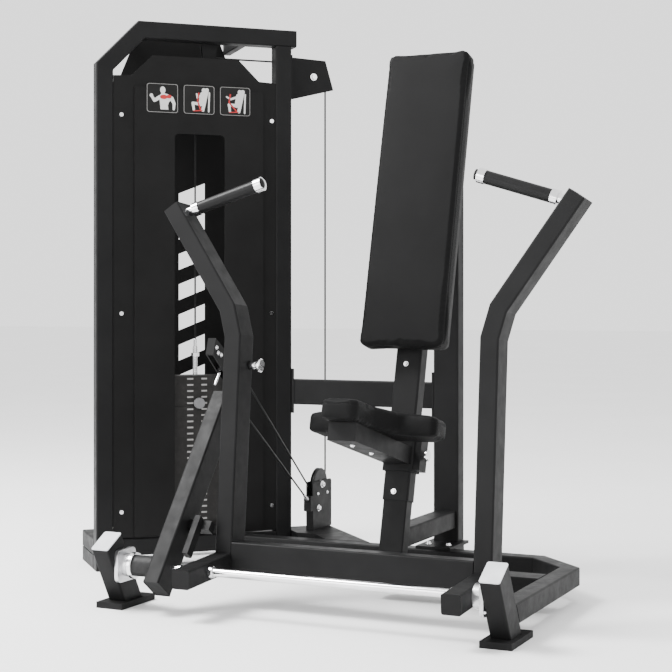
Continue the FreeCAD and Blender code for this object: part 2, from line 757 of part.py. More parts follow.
def lever():
    half, deep = dim.lever_wide / 2, dim.lever_deep / 2
    bar = tube("lever_bar", "z", (0, 0), dim.lever_wide, dim.lever_deep, dim.lever_low, dim.lever_high)
    bore = rod("lever_bore", "x", (0, 0), -100, 100, dim.shaft_radius)
    cap = tube("lever_end", "z", (0, 0), dim.lever_wide, dim.lever_deep, dim.lever_high, dim.lever_high + 3, wall=None)
    sub_part("lever_tube", "lever", cut("lever_bored", bar, bore), cap)
    # the pulley block: two plates and an end web, in line with the cable
    corners = ((272, 691), (258, 648), (370, 552), (402, 556), (410, 588), (392, 612))
    outline = [lever_point(y, z) for y, z in corners]
    gap = dim.pulley_thick / 2 + 1
    sides = bracket_pair("block_side", "x", outline, 0, gap, 4)
    web_points = ((272, 691), (258, 648), (262, 644.6), (276, 687.6))
    web = prism("block_web", "x", [lever_point(y, z) for y, z in web_points], -gap, gap)
    pulley_y, pulley_z = lever_point(dim.lever_pulley_y, dim.lever_pulley_z)
    pin = rod("block_pin", "x", (pulley_y, pulley_z), -gap, gap, 6)
    tie_y, tie_z = lever_point(322, 608)
    crossbar = rod("block_crossbar", "x", (tie_y, tie_z), -gap, gap, 9)
    sub_part("lever_pulley_block", "lever", fuse("pulley_block", *sides, web, pin, crossbar))
    tie = rod("tie_bar_rod", "z", (0, tie_y), dim.lever_high + 3, tie_z - 9, 4)
    sub_part("lever_tie_rod", "lever", tie)
    # stop bar and its pin tie the lever to the left arm
    hub_right = dim.hub_left + dim.hub_long
    shell = rod("hub_shell", "x", (0, 0), dim.hub_left, hub_right, dim.hub_radius)
    hole = rod("hub_hole", "x", (0, 0), dim.hub_left - 1, hub_right + 1, dim.shaft_radius)
    sub_part("hub_sleeve", "arm", cut("hub", shell, hole))
    link = box("link_plate", (43, 59), (-12, 14), (40, 150))
    block = box("link_block", (23, 85), (6, 30), (120, 146))
    sub_part("link_bar", "lever", fuse("link", link, block))


def lever_point(y, z):
    """A place over the floor, seen in the lever's leaning frame as depth and height."""
    lean = math.radians(float(dim.lever_lean))
    back, up = float(y) - float(dim.pivot_y), float(z) - float(dim.pivot_z)
    return back * math.cos(lean) - up * math.sin(lean), back * math.sin(lean) + up * math.cos(lean)


def arm_knob():
    half = dim.arm_wide / 2
    reach = -dim.arm_reach + half
    centre = (dim.arm_front + dim.arm_deep - dim.knob_inset, dim.knob_height)
    sleeve = rod("knob_sleeve", "x", centre, reach + 5.3, reach + 20, 9)
    stem = rod("knob_stem", "x", centre, reach + 20, reach + 28, 5)
    radius = dim.knob_radius
    head = turned("knob_head", "x", centre, reach + 28,
                  [(0, 0), (radius - 3, 0), (radius, 2), (radius, 5), (radius - 3, 8), (0, 8)])
    sub_part("arm_pull_pin", "arm", fuse("arm_pin", sleeve, stem, head))


def pivot_bearings():
    pieces = []
    for number, (low, high) in enumerate(((-496, -470.3), (464.3, 496))):
        ring = rod(f"bearing_ring_{number}", "x", (dim.pivot_y, dim.pivot_z), low, high, 30)
        flange = tube(f"bearing_flange_{number}", "x", (dim.pivot_y, dim.pivot_z), 84, 84,
                      low if number == 0 else high - 10, low + 10 if number == 0 else high, wall=None, radius=16)
        bore = rod(f"bearing_bore_{number}", "x", (dim.pivot_y, dim.pivot_z), low - 5, high + 5, dim.shaft_radius)
        pieces.append(cut(f"bearing_{number}", fuse(f"bearing_body_{number}", ring, flange), bore))
    sub_part("pivot_bearings", "floor", *pieces)


# ---------------------------------------------------------------- weight tower

def tower_frame():
    left, right, high = dim.tower_left, dim.tower_right, dim.tower_high
    wide = dim.frame_tube
    front, back = dim.tower_front, dim.tower_front + wide
    mitre = float(wide) * math.tan(math.radians(22.5))
    side_z, top_x = dim.tower_chamfer_z, dim.tower_chamfer_x
    left_post = [(0, left), (0, left + wide), (side_z - mitre, left + wide), (side_z, left)]
    post = prism("left_post", "y", left_post, front, back, dim.tube_round, 100)
    inside = within(front, back)
    sub_part("tower_left_post", "tower", trim("left_post_hollow", post, within(left, left + wide), inside, WHOLE))
    corner = [(side_z, left), (side_z - mitre, left + wide), (high - wide, top_x + mitre), (high, top_x)]
    slope = prism("corner_beam", "y", corner, front, back, dim.tube_round, 80)
    top = [(high - wide, top_x + mitre), (high - wide, right + 16), (high, right + 16), (high, top_x)]
    beam = prism("top_beam", "y", top, front, back, dim.tube_round, 100)
    beam = trim("top_beam_hollow", beam, (-FAR, right + 13), inside, within(high - wide, high))
    sub_part("tower_top_beam", "tower", slope, beam)
    right_post = tube("right_post", "z", (right - wide / 2, front + wide / 2), wide, wide, 0, high - wide)
    sub_part("tower_right_post", "tower", right_post)
    low, rail_high = dim.frame_low, dim.frame_high
    tower_back = dim.tower_back
    middle = (low + rail_high) / 2
    tall = rail_high - low
    rails = [
        tube(f"cross_rail_{number}", "x", (y + wide / 2, middle), wide, tall, left + wide, right - wide)
        for number, y in enumerate((front, tower_back - wide))
    ]
    sides = [
        tube(f"side_rail_{number}", "y", (middle, x + wide / 2), tall, wide, back, tower_back)
        for number, x in enumerate((left, right - wide))
    ]
    feet = [
        box("left_foot_bar", (left, left + wide), (back, tower_back), (0, low)),
        box("right_foot_bar", (right - wide, right), (back, tower_back), (0, low)),
    ]
    sub_part("tower_rails", "tower", *rails, *sides, *feet)


def sheet_outline(low, side_high, high, left, right, step):
    """The shroud's front view: straight sides and a narrower top with sloping shoulders."""
    return [(low, left), (low, right), (side_high, right), (side_high + 3, right - step),
            (high, right - step - 64), (high, left + step + 64), (side_high + 3, left + step), (side_high, left)]


def shrouds():
    wide = dim.frame_tube
    left, right = dim.tower_left + wide, dim.tower_right - wide
    thick = dim.sheet_thick
    low, high = dim.shroud_low, dim.shroud_high
    front = dim.tower_front + 2
    outline = sheet_outline(low, dim.shroud_side_high, high, left, right, 54)
    panel = prism("front_panel", "y", outline, front, front + thick)
    slot = tube("slot", "y", ((dim.slot_low + dim.slot_high) / 2, (dim.slot_left + dim.slot_right) / 2),
                dim.slot_high - dim.slot_low, dim.slot_right - dim.slot_left, front - 20, front + 20, wall=None, radius=14)
    # the middle of the panel stands a little proud of its two side strips
    raised_left, raised_right = left + 62, right - 42
    raised = box("raised_panel", (raised_left, raised_right), (front - 6, front), (low, dim.shroud_side_high - 30))
    panel = trim("front_fold", fuse("front_sheet_body", panel, raised), (raised_left + thick, raised_right - thick),
                 (front - 6 + thick, front + FAR), (-FAR, dim.shroud_side_high - 30 - thick))
    panel = cut("front_sheet", panel, slot)
    sub_part("front_shroud", "tower", panel)
    back = dim.tower_back
    rear_outline = sheet_outline(low, dim.shroud_side_high, dim.tower_high - 4, left, right, 54)
    rear_panel = prism("rear_panel", "y", rear_outline, back, back + thick)
    windows = []
    for number in range(7):
        # slanted windows let the stack be seen from behind
        z = 510 + 95 * number
        window = [(z, 0), (z + 34, 84), (z + 84, 84), (z + 50, 0)]
        windows.append(prism(f"window_{number}", "y", window, back - 20, back + 20))
    sub_part("rear_shroud", "tower", cut("rear_sheet", rear_panel, *windows))
    heads = []
    for number, z in enumerate((171, 755, 1340)):
        for x in (-228, 234):
            heads.append(rod(f"shroud_screw_{number}_{x + 228}", "y", (z, x), front - dim.screw_high, front,
                             dim.screw_radius))
    sub_part("shroud_screws", "tower", *heads)
    cards = []
    for number, x in enumerate((-106.5, 5, 117)):
        cards.append(tube(f"card_{number}", "y", (1393.5, x), 86, 95, front - 6.8, front - 6, wall=None, radius=12))
    sub_part("exercise_cards", "tower", *cards)
    arms = []
    for number, x in enumerate((-160, 156)):
        arms.append(tube(f"shroud_arm_{number}", "y", (dim.tower_high - 28, x), 40, 25,
                         dim.tower_front + wide, back, wall=None, radius=3))
    return arms


def weight_stack():
    x, y = dim.stack_x, dim.stack_y
    wide, deep = dim.plate_wide / 2, dim.plate_deep / 2
    thick = dim.plate_pitch - dim.plate_gap
    bottom = dim.stack_low

    def plate(name, low, high):
        slab = box(name, (x - wide, x + wide), (y - deep, y + deep), (low, high))
        holes = [rod(f"{name}_rod_hole", "z", (x, y), low - 1, high + 1, dim.rod_radius + 1)]
        for number, reach in enumerate((-dim.guide_reach, dim.guide_reach)):
            holes.append(rod(f"{name}_guide_hole_{number}", "z", (x + reach, y), low - 1, high + 1,
                             dim.guide_radius + 1))
        return cut(f"{name}_drilled", slab, *holes)

    resting = int(DIMENSIONS["resting_count"])
    lifted = int(DIMENSIONS["lifted_count"])
    pitch = dim.plate_pitch
    plates = []
    for number in range(resting):
        low = bottom + pitch * number
        plates.append(plate(f"resting_{number}", low, low + (pitch if number < resting - 1 else thick)))
    sub_part("resting_plates", "tower", *plates)
    plates = []
    for number in range(lifted):
        low = bottom + pitch * (resting + number)
        slab = plate(f"lifted_{number}", low, low + pitch)
        if number == 0:
            pin_hole = rod("pin_hole", "y", (low + pitch / 2, x), y - deep - 1, y, dim.pin_radius + 0.4)
            slab = cut("pinned_plate", slab, pin_hole)
        plates.append(slab)
    top = bottom + pitch * (resting + lifted)
    sub_part("lifted_plates", "tower", *plates)
    # the selector rod runs down through the stack and hangs on the cable
    selector = rod("selector_bar", "z", (x, y), bottom + 4, top + dim.rod_rise, dim.rod_radius)
    sub_part("selector_rod", "tower", selector)


def stack_fittings(shroud_arms):
    x, y = dim.stack_x, dim.stack_y
    deep = dim.plate_deep / 2
    bottom = dim.stack_low
    pin_z = bottom + dim.plate_pitch * (int(DIMENSIONS["resting_count"]) + 0.5)
    front = y - deep
    grip = rod("pin_grip", "y", (pin_z, x), front - 14, front - 3, dim.pin_grip_radius)
    neck = rod("pin_neck", "y", (pin_z, x), front - 3, front - 0.3, 8)
    shaft = rod("pin_shaft", "y", (pin_z, x), front - 0.3, y - dim.rod_radius - 2, dim.pin_radius)
    sub_part("selector_pin", "tower", fuse("pin", grip, neck, shaft))
    rods, bumpers = [], []
    for number, reach in enumerate((-dim.guide_reach, dim.guide_reach)):
        rods.append(rod(f"guide_{number}", "z", (x + reach, y), dim.frame_high, dim.rod_bar_low, dim.guide_radius))
        outer = rod(f"bumper_{number}", "z", (x + reach, y), dim.frame_high, bottom - 0.3, 26)
        hole = rod(f"bumper_hole_{number}", "z", (x + reach, y), dim.frame_high - 1, bottom + 1, dim.guide_radius)
        bumpers.append(cut(f"bumper_ring_{number}", outer, hole))
    sub_part("guide_rods", "tower", *rods)
    sub_part("rubber_bumpers", "tower", *bumpers)
    # a floor bar under the stack and two bars over it, clear of the cable, hold the guide rods
    bar_front, bar_back = dim.tower_front + dim.frame_tube, y + 30
    floor_bar = tube("rod_floor_bar", "x", ((bar_front + bar_back) / 2, (dim.frame_low + dim.frame_high) / 2),
                     bar_back - bar_front, dim.frame_high - dim.frame_low,
                     dim.tower_left + dim.frame_tube, dim.tower_right - dim.frame_tube)
    low, high = dim.rod_bar_low, dim.rod_bar_low + 40
    inner_left, inner_right = dim.tower_left + dim.frame_tube, dim.tower_right - dim.frame_tube
    top_bars = [
        box("left_rod_bar", (inner_left, x - dim.guide_reach + 22), (y - 24, y + 20), (low, high)),
        box("right_rod_bar", (x + dim.guide_reach - 22, inner_right), (y - 24, y + 20), (low, high)),
    ]
    sub_part("tower_inner_bars", "tower", floor_bar, *top_bars, *shroud_arms)


# ---------------------------------------------------------------- pulleys and cable

def pulley(label, station, axis, centre, middle, radius=dim.pulley_radius):
    half = dim.pulley_thick / 2
    bore, groove = dim.pulley_bore, radius - dim.groove_deep
    outline = [
        (bore, 0), (radius - 4, 0), (radius, 1.5), (groove, half - 2),
        (groove, half + 2), (radius, 2 * half - 1.5), (radius - 4, 2 * half), (bore, 2 * half),
    ]
    sub_part(label, station, turned(label + "_wheel", axis, centre, middle - half, outline))


def bracket_pair(name, axis, outline, middle, gap, thick):
    return [
        prism(f"{name}_near", axis, outline, middle - gap - thick, middle - gap),
        prism(f"{name}_far", axis, outline, middle + gap, middle + gap + thick),
    ]


def cable_places():
    """The bend radii of the cable's middle and the places that its route shares with the pulleys."""
    rise = dim.cable_radius + dim.cable_clear - dim.groove_deep
    drop_x = dim.stack_y + dim.cable_x * math.sqrt(2)
    drop_y = dim.stack_y * math.sqrt(2) + dim.cable_x
    return dim.pulley_radius + rise, dim.base_pulley_radius + rise, drop_x, drop_y


def pulleys():
    y = dim.stack_y
    gap = dim.pulley_thick / 2 + 1
    top_z = dim.top_pulley_z
    bend, base_bend, drop_x, drop_y = cable_places()
    thick, pin = dim.bracket_thick, dim.axle_radius
    # over the stack
    centre_x = dim.stack_x + bend
    pulley("top_pulley", "tower", "y", (top_z, centre_x), y)
    beam_low = dim.tower_high - dim.frame_tube
    outline = [(top_z - 14, centre_x - 14), (top_z - 14, centre_x + 14), (beam_low, centre_x + 24),
               (beam_low, centre_x - 24)]
    sides = bracket_pair("top_bracket", "y", outline, y, gap, thick)
    axle = rod("top_axle", "y", (top_z, centre_x), y - gap, y + gap, pin)
    sub_part("top_pulley_bracket", "tower", fuse("top_bracket", *sides, axle))
    # beside the tower
    side_x = drop_x - bend
    pulley("side_pulley", "tower", "y", (top_z, side_x), y)
    right = dim.tower_right
    outline = [(1412, right), (1450, right + 150), (1540, right + 124), (1546, right)]
    plate = prism("side_plate", "y", outline, y - gap - thick, y - gap)
    flange = box("side_flange", (right, right + thick), (y - 50, y - gap), (1412, 1546))
    axle = rod("side_axle", "y", (top_z, side_x), y - gap, y + gap + 3, pin)
    sub_part("side_pulley_bracket", "tower", fuse("side_bracket", plate, flange, axle))
    # on the floor beam
    x, base_y, base_z = dim.cable_x, drop_y - base_bend, dim.base_pulley_z
    pulley("base_pulley", "floor", "x", (base_y, base_z), x, dim.base_pulley_radius)
    low, high = dim.frame_high, dim.base_bracket_high
    front, back = dim.base_bracket_front, dim.base_bracket_back
    outline = [(front, low), (back, low), (back, high - 6), (back - 6, high), (front + 6, high), (front, high - 6)]
    sides = bracket_pair("base_bracket", "x", outline, x, gap, thick)
    web = box("base_web", (x - gap, x + gap), (front, front + thick), (low, base_z - dim.base_pulley_radius - 8))
    axle = rod("base_axle", "x", (base_y, base_z), x - gap, x + gap, pin)
    anchor = box("anchor_block", (x - gap - thick, x + gap + thick), (dim.anchor_y, front),
                 (low + 60, dim.anchor_z + 10))
    sub_part("base_pulley_bracket", "floor", *sides, web, axle, anchor)
    # on the lever
    lever_y, lever_z = lever_point(dim.lever_pulley_y, dim.lever_pulley_z)
    pulley("lever_pulley", "lever", "x", (lever_y, lever_z), 0)


def cable(label, places):
    """A cable through the places: a pair of places is a straight run, three are an arc."""
    edges = []
    for run in places:
        points = [Vector(*[float(value) for value in place]) for place in run]
        if len(points) == 2:
            edges.append(Part.LineSegment(*points).toShape())
        else:
            edges.append(Part.Arc(*points).toShape())
            print(f"{label}: a bend of radius {edges[-1].Curve.Radius:.1f}")
    path = Part.Wire(edges)
    radius = float(dim.cable_radius)
    first = edges[0]
    ring = Part.Wire(Part.makeCircle(radius, first.firstVertex(True).Point, first.tangentAt(first.FirstParameter)))
    shape = path.makePipeShell([ring], True, False)
    expected = math.pi * radius ** 2 * path.Length
    assert abs(shape.Volume / expected - 1) < 0.01, f"{label} has the wrong volume"
    strand = doc.addObject("Part::Feature", label + "_strand")
    strand.Shape = shape
    return strand


def on_circle(centre, radius, angle):
    """A point on a circle, as across and up, at an angle in degrees."""
    turn = math.radians(angle)
    return float(centre[0]) + float(radius) * math.cos(turn), float(centre[1]) + float(radius) * math.sin(turn)


def cables():
    bend, base_bend, drop_x, drop_y = cable_places()
    y = dim.stack_y
    top_z = dim.top_pulley_z
    stack_top = dim.stack_low + dim.plate_pitch * (DIMENSIONS["resting_count"] + DIMENSIONS["lifted_count"])
    rod_top = stack_top + dim.rod_rise
    join = top_z - 40
    sub_part("stack_cable", "tower", rod("stack_strand", "z", (dim.stack_x, y), rod_top, join, dim.cable_radius))
    # over the top pulley, across to the side pulley and down beside the tower
    left = (dim.stack_x + bend, top_z)
    right = (drop_x - bend, top_z)

    def in_tower(point):
        return point[0], y, point[1]

    over = [[in_tower((dim.stack_x, join)), in_tower((dim.stack_x, top_z))],
            [in_tower(on_circle(left, bend, angle)) for angle in (180, 135, 90)],
            [in_tower(on_circle(left, bend, 90)), in_tower(on_circle(right, bend, 90))],
            [in_tower(on_circle(right, bend, angle)) for angle in (90, 45, 0)],
            [in_tower((drop_x, top_z)), in_tower((drop_x, dim.joint_z))]]
    sub_part("crossing_cable", "tower", cable("crossing_cable", over))
    # down under the floor pulley, over the lever's pulley and back to the anchor
    base = (float(drop_y - base_bend), float(dim.base_pulley_z))
    lever_centre = (float(dim.lever_pulley_y), float(dim.lever_pulley_z))
    radius, base_radius = float(bend), float(base_bend)
    away = math.degrees(math.atan2(lever_centre[1] - base[1], lever_centre[0] - base[0]))
    upper = away - math.degrees(math.asin((radius + base_radius) / math.dist(base, lever_centre)))
    anchor = (float(dim.anchor_y), float(dim.anchor_z))
    back = math.degrees(math.atan2(anchor[1] - lever_centre[1], anchor[0] - lever_centre[0]))
    lower = back + math.degrees(math.asin(radius / math.dist(anchor, lever_centre)))

    def beside(point):
        return dim.cable_x, point[0], point[1]

    # the angles at which the cable meets and leaves each pulley
    base_leave = upper + 90 - 360
    lever_meet, lever_leave = upper - 90, lower - 90 + 360
    drop = [[beside((drop_y, dim.joint_z)), beside((drop_y, dim.base_pulley_z))],
            [beside(on_circle(base, base_radius, angle)) for angle in (0, base_leave / 2, base_leave)],
            [beside(on_circle(base, base_radius, base_leave)), beside(on_circle(lever_centre, radius, lever_meet))]]
    return_run = [[beside(on_circle(lever_centre, radius, lever_leave)), beside(anchor)]]
    sub_part("lever_cable", "floor", cable("lever_drop", drop), cable("lever_return", return_run))
    # the bend round the lever's pulley travels with the lever
    wrap = [[beside(on_circle(lever_centre, radius, angle))
             for angle in (lever_meet, (lever_meet + lever_leave) / 2, lever_leave)]]
    sub_part("lever_cable_bend", "floor", cable("lever_cable_bend", wrap))


def main():
    front_feet()
    floor_frame()
    pulley_beam()
    seat_post()
    rear_upright()
    stabiliser()
    back_pad()
    seat()
    handles(press_arm())
    lever()
    arm_knob()
    pivot_bearings()
    tower_frame()
    shroud_arms = shrouds()
    weight_stack()
    stack_fittings(shroud_arms)
    pulleys()
    cables()
    doc.recompute()
    for thing in doc.Objects:
        assert "Invalid" not in thing.State and "Error" not in thing.State, f"{thing.Label}: {thing.State}"
    os.makedirs("parts", exist_ok=True)
    whole = FreeCAD.BoundBox()
    for piece in sub_parts:
        shape = piece.Shape
        assert not shape.isNull() and shape.isValid(), f"{piece.Label} is not a valid shape"
        shape.exportStep(f"parts/{piece.Label}.step")
        whole.add(shape.BoundBox)
    print(len(sub_parts), "sub-parts")
    print("footprint centre is off by", round(whole.Center.x, 2), round(whole.Center.y, 2))
    print("size", [round(side, 1) for side in (whole.XLength, whole.YLength, whole.ZLength)], "floor", whole.ZMin)


main()
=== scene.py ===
import json
import math

import bmesh
import bpy
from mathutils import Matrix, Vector


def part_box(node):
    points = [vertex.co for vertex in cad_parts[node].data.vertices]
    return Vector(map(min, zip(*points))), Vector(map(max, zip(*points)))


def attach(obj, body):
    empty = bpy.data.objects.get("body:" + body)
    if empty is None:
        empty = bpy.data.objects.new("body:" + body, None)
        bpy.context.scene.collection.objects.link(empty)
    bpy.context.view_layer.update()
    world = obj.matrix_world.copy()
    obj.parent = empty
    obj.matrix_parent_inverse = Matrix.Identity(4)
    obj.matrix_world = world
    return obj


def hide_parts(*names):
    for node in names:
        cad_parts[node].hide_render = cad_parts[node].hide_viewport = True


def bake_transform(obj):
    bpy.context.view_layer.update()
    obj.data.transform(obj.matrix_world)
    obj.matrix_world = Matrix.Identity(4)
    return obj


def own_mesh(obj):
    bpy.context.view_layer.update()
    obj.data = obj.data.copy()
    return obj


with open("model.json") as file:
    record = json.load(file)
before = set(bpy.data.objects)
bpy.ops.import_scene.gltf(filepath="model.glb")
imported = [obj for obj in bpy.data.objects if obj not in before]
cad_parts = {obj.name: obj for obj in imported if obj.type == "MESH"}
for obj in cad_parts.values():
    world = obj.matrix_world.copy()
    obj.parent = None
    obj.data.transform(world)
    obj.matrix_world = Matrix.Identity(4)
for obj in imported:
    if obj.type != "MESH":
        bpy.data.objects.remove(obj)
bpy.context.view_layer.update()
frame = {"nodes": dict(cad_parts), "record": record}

# The machine stands on the floor with the user's side towards -Y. The weight tower is turned by 45
# degrees: ACROSS runs along its front and FORWARD points out of it. The seat post leans back:
# POST_UP runs along it and POST_OUT points out of its front face.
HALF_TURN = math.sqrt(0.5)
ACROSS = Vector((HALF_TURN, HALF_TURN, 0))
FORWARD = Vector((HALF_TURN, -HALF_TURN, 0))
POST_LEAN = math.radians(14.4)
POST_UP = Vector((0, math.sin(POST_LEAN), math.cos(POST_LEAN)))
POST_OUT = Vector((0, -math.cos(POST_LEAN), math.sin(POST_LEAN)))
RIGHT = Vector((1, 0, 0))
UP = Vector((0, 0, 1))
MM = 0.001


def reach(node, way):
    """How far a CAD node reaches along a direction, from and to."""
    dots = [way.dot(vertex.co) for vertex in frame["nodes"][node].data.vertices]
    return min(dots), max(dots)


def middle(node):
    low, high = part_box(node)
    return (low + high) / 2


def on_tower(across, forward, up):
    return ACROSS * across + FORWARD * forward + UP * up


def on_post(across, out, along):
    return RIGHT * across + POST_OUT * out + POST_UP * along


# ---------------------------------------------------------------- camera

EYE = Vector((1.77973, -3.62386, 0.780))
EYE_TURN = math.radians(25.2)
eye_data = bpy.data.cameras.new("eye")
eye_data.lens = 78.54
eye_data.sensor_width = 36
eye_data.shift_y = -31 / 672
eye = bpy.data.objects.new("eye", eye_data)
eye.location = EYE
eye.rotation_euler = (math.radians(90), 0, EYE_TURN)
bpy.context.scene.collection.objects.link(eye)
bpy.context.scene.camera = eye


# ---------------------------------------------------------------- finishes

class Finish:
    """A node material under construction: a Principled shader fed from object coordinates."""

    def __init__(self, name, **settings):
        self.material = bpy.data.materials.new(name)
        self.material.use_nodes = True
        self.nodes = self.material.node_tree.nodes
        self.links = self.material.node_tree.links
        self.shader = self.nodes["Principled BSDF"]
        for socket, value in settings.items():
            self.shader.inputs[socket.replace("_", " ")].default_value = value
        self.place = self.nodes.new("ShaderNodeTexCoord").outputs["Object"]

    def stretched(self, scale):
        """Object coordinates stretched by a factor on each axis."""
        node = self.nodes.new("ShaderNodeMapping")
        node.inputs["Scale"].default_value = scale
        self.links.new(self.place, node.inputs["Vector"])
        return node.outputs["Vector"]

    def noise(self, size, detail=2.0, rough=0.5, place=None):
        """Soft noise whose grains are about this many metres across."""
        node = self.nodes.new("ShaderNodeTexNoise")
        node.inputs["Scale"].default_value = 1 / size
        node.inputs["Detail"].default_value = detail
        node.inputs["Roughness"].default_value = rough
        self.links.new(place or self.place, node.inputs["Vector"])
        return node.outputs["Fac"]

    def cells(self, size, feature="DISTANCE_TO_EDGE"):
        node = self.nodes.new("ShaderNodeTexVoronoi")
        node.feature = feature
        node.inputs["Scale"].default_value = 1 / size
        self.links.new(self.place, node.inputs["Vector"])
        return node.outputs["Distance"]

    def spread(self, value, low, high, from_low=0.3, from_high=0.7):
        """Moves a value's range to low and high."""
        node = self.nodes.new("ShaderNodeMapRange")
        for socket, number in (("From Min", from_low), ("From Max", from_high),
                               ("To Min", low), ("To Max", high)):
            node.inputs[socket].default_value = number
        self.links.new(value, node.inputs["Value"])
        return node.outputs["Result"]

    def blend(self, value, first, second):
        """A colour between two, by a value."""
        node = self.nodes.new("ShaderNodeMix")
        node.data_type = "RGBA"
        node.inputs["A"].default_value = (*first, 1)
        node.inputs["B"].default_value = (*second, 1)
        self.links.new(value, node.inputs["Factor"])
        return node.outputs["Result"]

    def joined(self, first, second, operation="ADD"):
        node = self.nodes.new("ShaderNodeMath")
        node.operation = operation
        self.links.new(first, node.inputs[0])
        self.links.new(second, node.inputs[1])
        return node.outputs[0]

    def feed(self, socket, value):
        self.links.new(value, self.shader.inputs[socket])

    def relief(self, height, depth, strength=1.0):
        node = self.nodes.new("ShaderNodeBump")
        node.inputs["Distance"].default_value = depth
        node.inputs["Strength"].default_value = strength
        self.links.new(height, node.inputs["Height"])
        self.feed("Normal", node.outputs["Normal"])


def tinted(colour, amount):
    return [min(1.0, channel * amount) for channel in colour]


def powder_coat(name, colour, rough_low, rough_high, grain=0.0016, depth=0.00012, gloss=0.095):
    """Baked powder paint: an orange-peel skin with faint cloudy differences of shade and gloss."""
    finish = Finish(name, Metallic=0.0, Specular_IOR_Level=gloss)
    clouds = finish.spread(finish.noise(0.11, 3), 0, 1)
    finish.feed("Base Color", finish.blend(clouds, tinted(colour, 0.86), tinted(colour, 1.14)))
    finish.feed("Roughness", finish.spread(finish.noise(0.035, 4, 0.6), rough_low, rough_high))
    peel = finish.joined(finish.noise(grain, 3, 0.6), finish.noise(grain * 4, 2))
    finish.relief(peel, depth, 0.6)
    return finish.material


def vinyl(name, colour, rough_low, rough_high, pore=0.0021):
    """Grained upholstery vinyl: small pebbles with creases between them, over soft broad waves."""
    finish = Finish(name, Metallic=0.0, Specular_IOR_Level=0.07)
    pebbles = finish.cells(pore)
    creases = finish.spread(pebbles, 0, 1, 0.0, 0.32)
    wear = finish.spread(finish.noise(0.16, 4, 0.6), 0, 1)
    finish.feed("Base Color", finish.blend(wear, tinted(colour, 0.82), tinted(colour, 1.2)))
    finish.feed("Roughness", finish.spread(creases, rough_high, rough_low, 0, 1))
    height = finish.joined(creases, finish.noise(pore * 6, 3))
    finish.relief(height, 0.00022, 0.75)
    return finish.material


def bright_metal(name, colour, rough_low, rough_high, brush=(1, 1, 1), grain=0.004, depth=0.00002):
    """Plated or ground metal: uneven gloss and fine lines along one axis."""
    finish = Finish(name, Metallic=1.0)
    lines = finish.noise(grain, 3, 0.6, finish.stretched(brush))
    haze = finish.spread(finish.noise(0.03, 3), 0, 1)
    finish.feed("Base Color", finish.blend(haze, tinted(colour, 0.92), tinted(colour, 1.05)))
    finish.feed("Roughness", finish.spread(lines, rough_low, rough_high))
    finish.relief(lines, depth, 0.4)
    return finish.material


def moulded(name, colour, rough_low, rough_high, grain=0.0008, depth=0.00005, specular=0.4):
    """Moulded plastic or rubber: a fine matt texture with slight clouding."""
    finish = Finish(name, Metallic=0.0, Specular_IOR_Level=specular)
    clouds = finish.spread(finish.noise(0.05, 3), 0, 1)
    finish.feed("Base Color", finish.blend(clouds, tinted(colour, 0.88), tinted(colour, 1.12)))
    finish.feed("Roughness", finish.spread(finish.noise(0.02, 3), rough_low, rough_high))
    finish.relief(finish.noise(grain, 2), depth, 0.6)
    return finish.material


def cast_plate(name, colour):
    """Painted cast iron: a coarse sandy skin whose rubbed spots are a little brighter."""
    finish = Finish(name, Metallic=0.0, Specular_IOR_Level=0.2)
    rubbed = finish.spread(finish.noise(0.028, 5, 0.7), 0, 1, 0.45, 0.75)
    finish.feed("Base Color", finish.blend(rubbed, colour, tinted(colour, 1.9)))
    finish.feed("Roughness", finish.spread(rubbed, 0.55, 0.38, 0, 1))
    finish.relief(finish.noise(0.0022, 4, 0.7), 0.00025, 0.7)
    return finish.material


def printed(name, colour, roughness):
    """Screen-printed ink: a thin film with tiny pinholes of shade."""
    finish = Finish(name, Metallic=0.0)
    specks = finish.spread(finish.noise(0.0012, 2), 0, 1)
    finish.feed("Base Color", finish.blend(specks, tinted(colour, 0.9), colour))
    finish.feed("Roughness", finish.spread(finish.noise(0.004, 2), roughness - 0.06, roughness + 0.06))
    finish.relief(finish.noise(0.0006, 2), 0.00002, 0.5)
    return finish.material


CHARCOAL = (0.0078, 0.0078, 0.008)
FINISHES = {
    "frame_paint": powder_coat("charcoal_powder_coat", CHARCOAL, 0.42, 0.56),
    "sheet_paint": powder_coat("sheet_powder_coat", (0.0062, 0.0061, 0.0061), 0.46, 0.6, 0.0013),
    "pad_vinyl": vinyl("black_vinyl", (0.0042, 0.0042, 0.0043), 0.45, 0.65),
    "board_wood": moulded("painted_board", (0.012, 0.012, 0.012), 0.6, 0.75, 0.003, 0.0001),
    "grip_rubber": moulded("grip_rubber", (0.006, 0.006, 0.0062), 0.34, 0.46, 0.0012, 0.00006, 0.14),
    "chrome": bright_metal("bright_chrome", (0.82, 0.82, 0.83), 0.07, 0.2),
    "bearing_steel": bright_metal("zinc_plate", (0.62, 0.62, 0.63), 0.24, 0.4, (1, 1, 1), 0.002, 0.00004),
    "hub_iron": cast_plate("hub_casting", (0.011, 0.011, 0.0112)),
    "pulley_plastic": moulded("nylon_pulley", (0.009, 0.009, 0.0092), 0.34, 0.48, 0.0008, 0.00005, 0.15),
    "stack_iron": cast_plate("stack_casting", (0.0115, 0.0108, 0.0104)),
    "foot_rubber": moulded("foot_rubber", (0.009, 0.009, 0.0092), 0.6, 0.75, 0.0015, 0.0001, 0.12),
    "cap_plastic": moulded("grey_end_cap", (0.62, 0.63, 0.65), 0.35, 0.5),
    "card_plastic": moulded("card_panel", (0.008, 0.0078, 0.0076), 0.4, 0.55, 0.0008, 0.00005, 0.12),
    "pin_plastic": moulded("grey_knob", (0.15, 0.15, 0.155), 0.3, 0.42, 0.0008, 0.00005, 0.2),
    "cable_jacket": moulded("cable_jacket", (0.007, 0.007, 0.0072), 0.34, 0.46, 0.0009, 0.00006, 0.12),
}
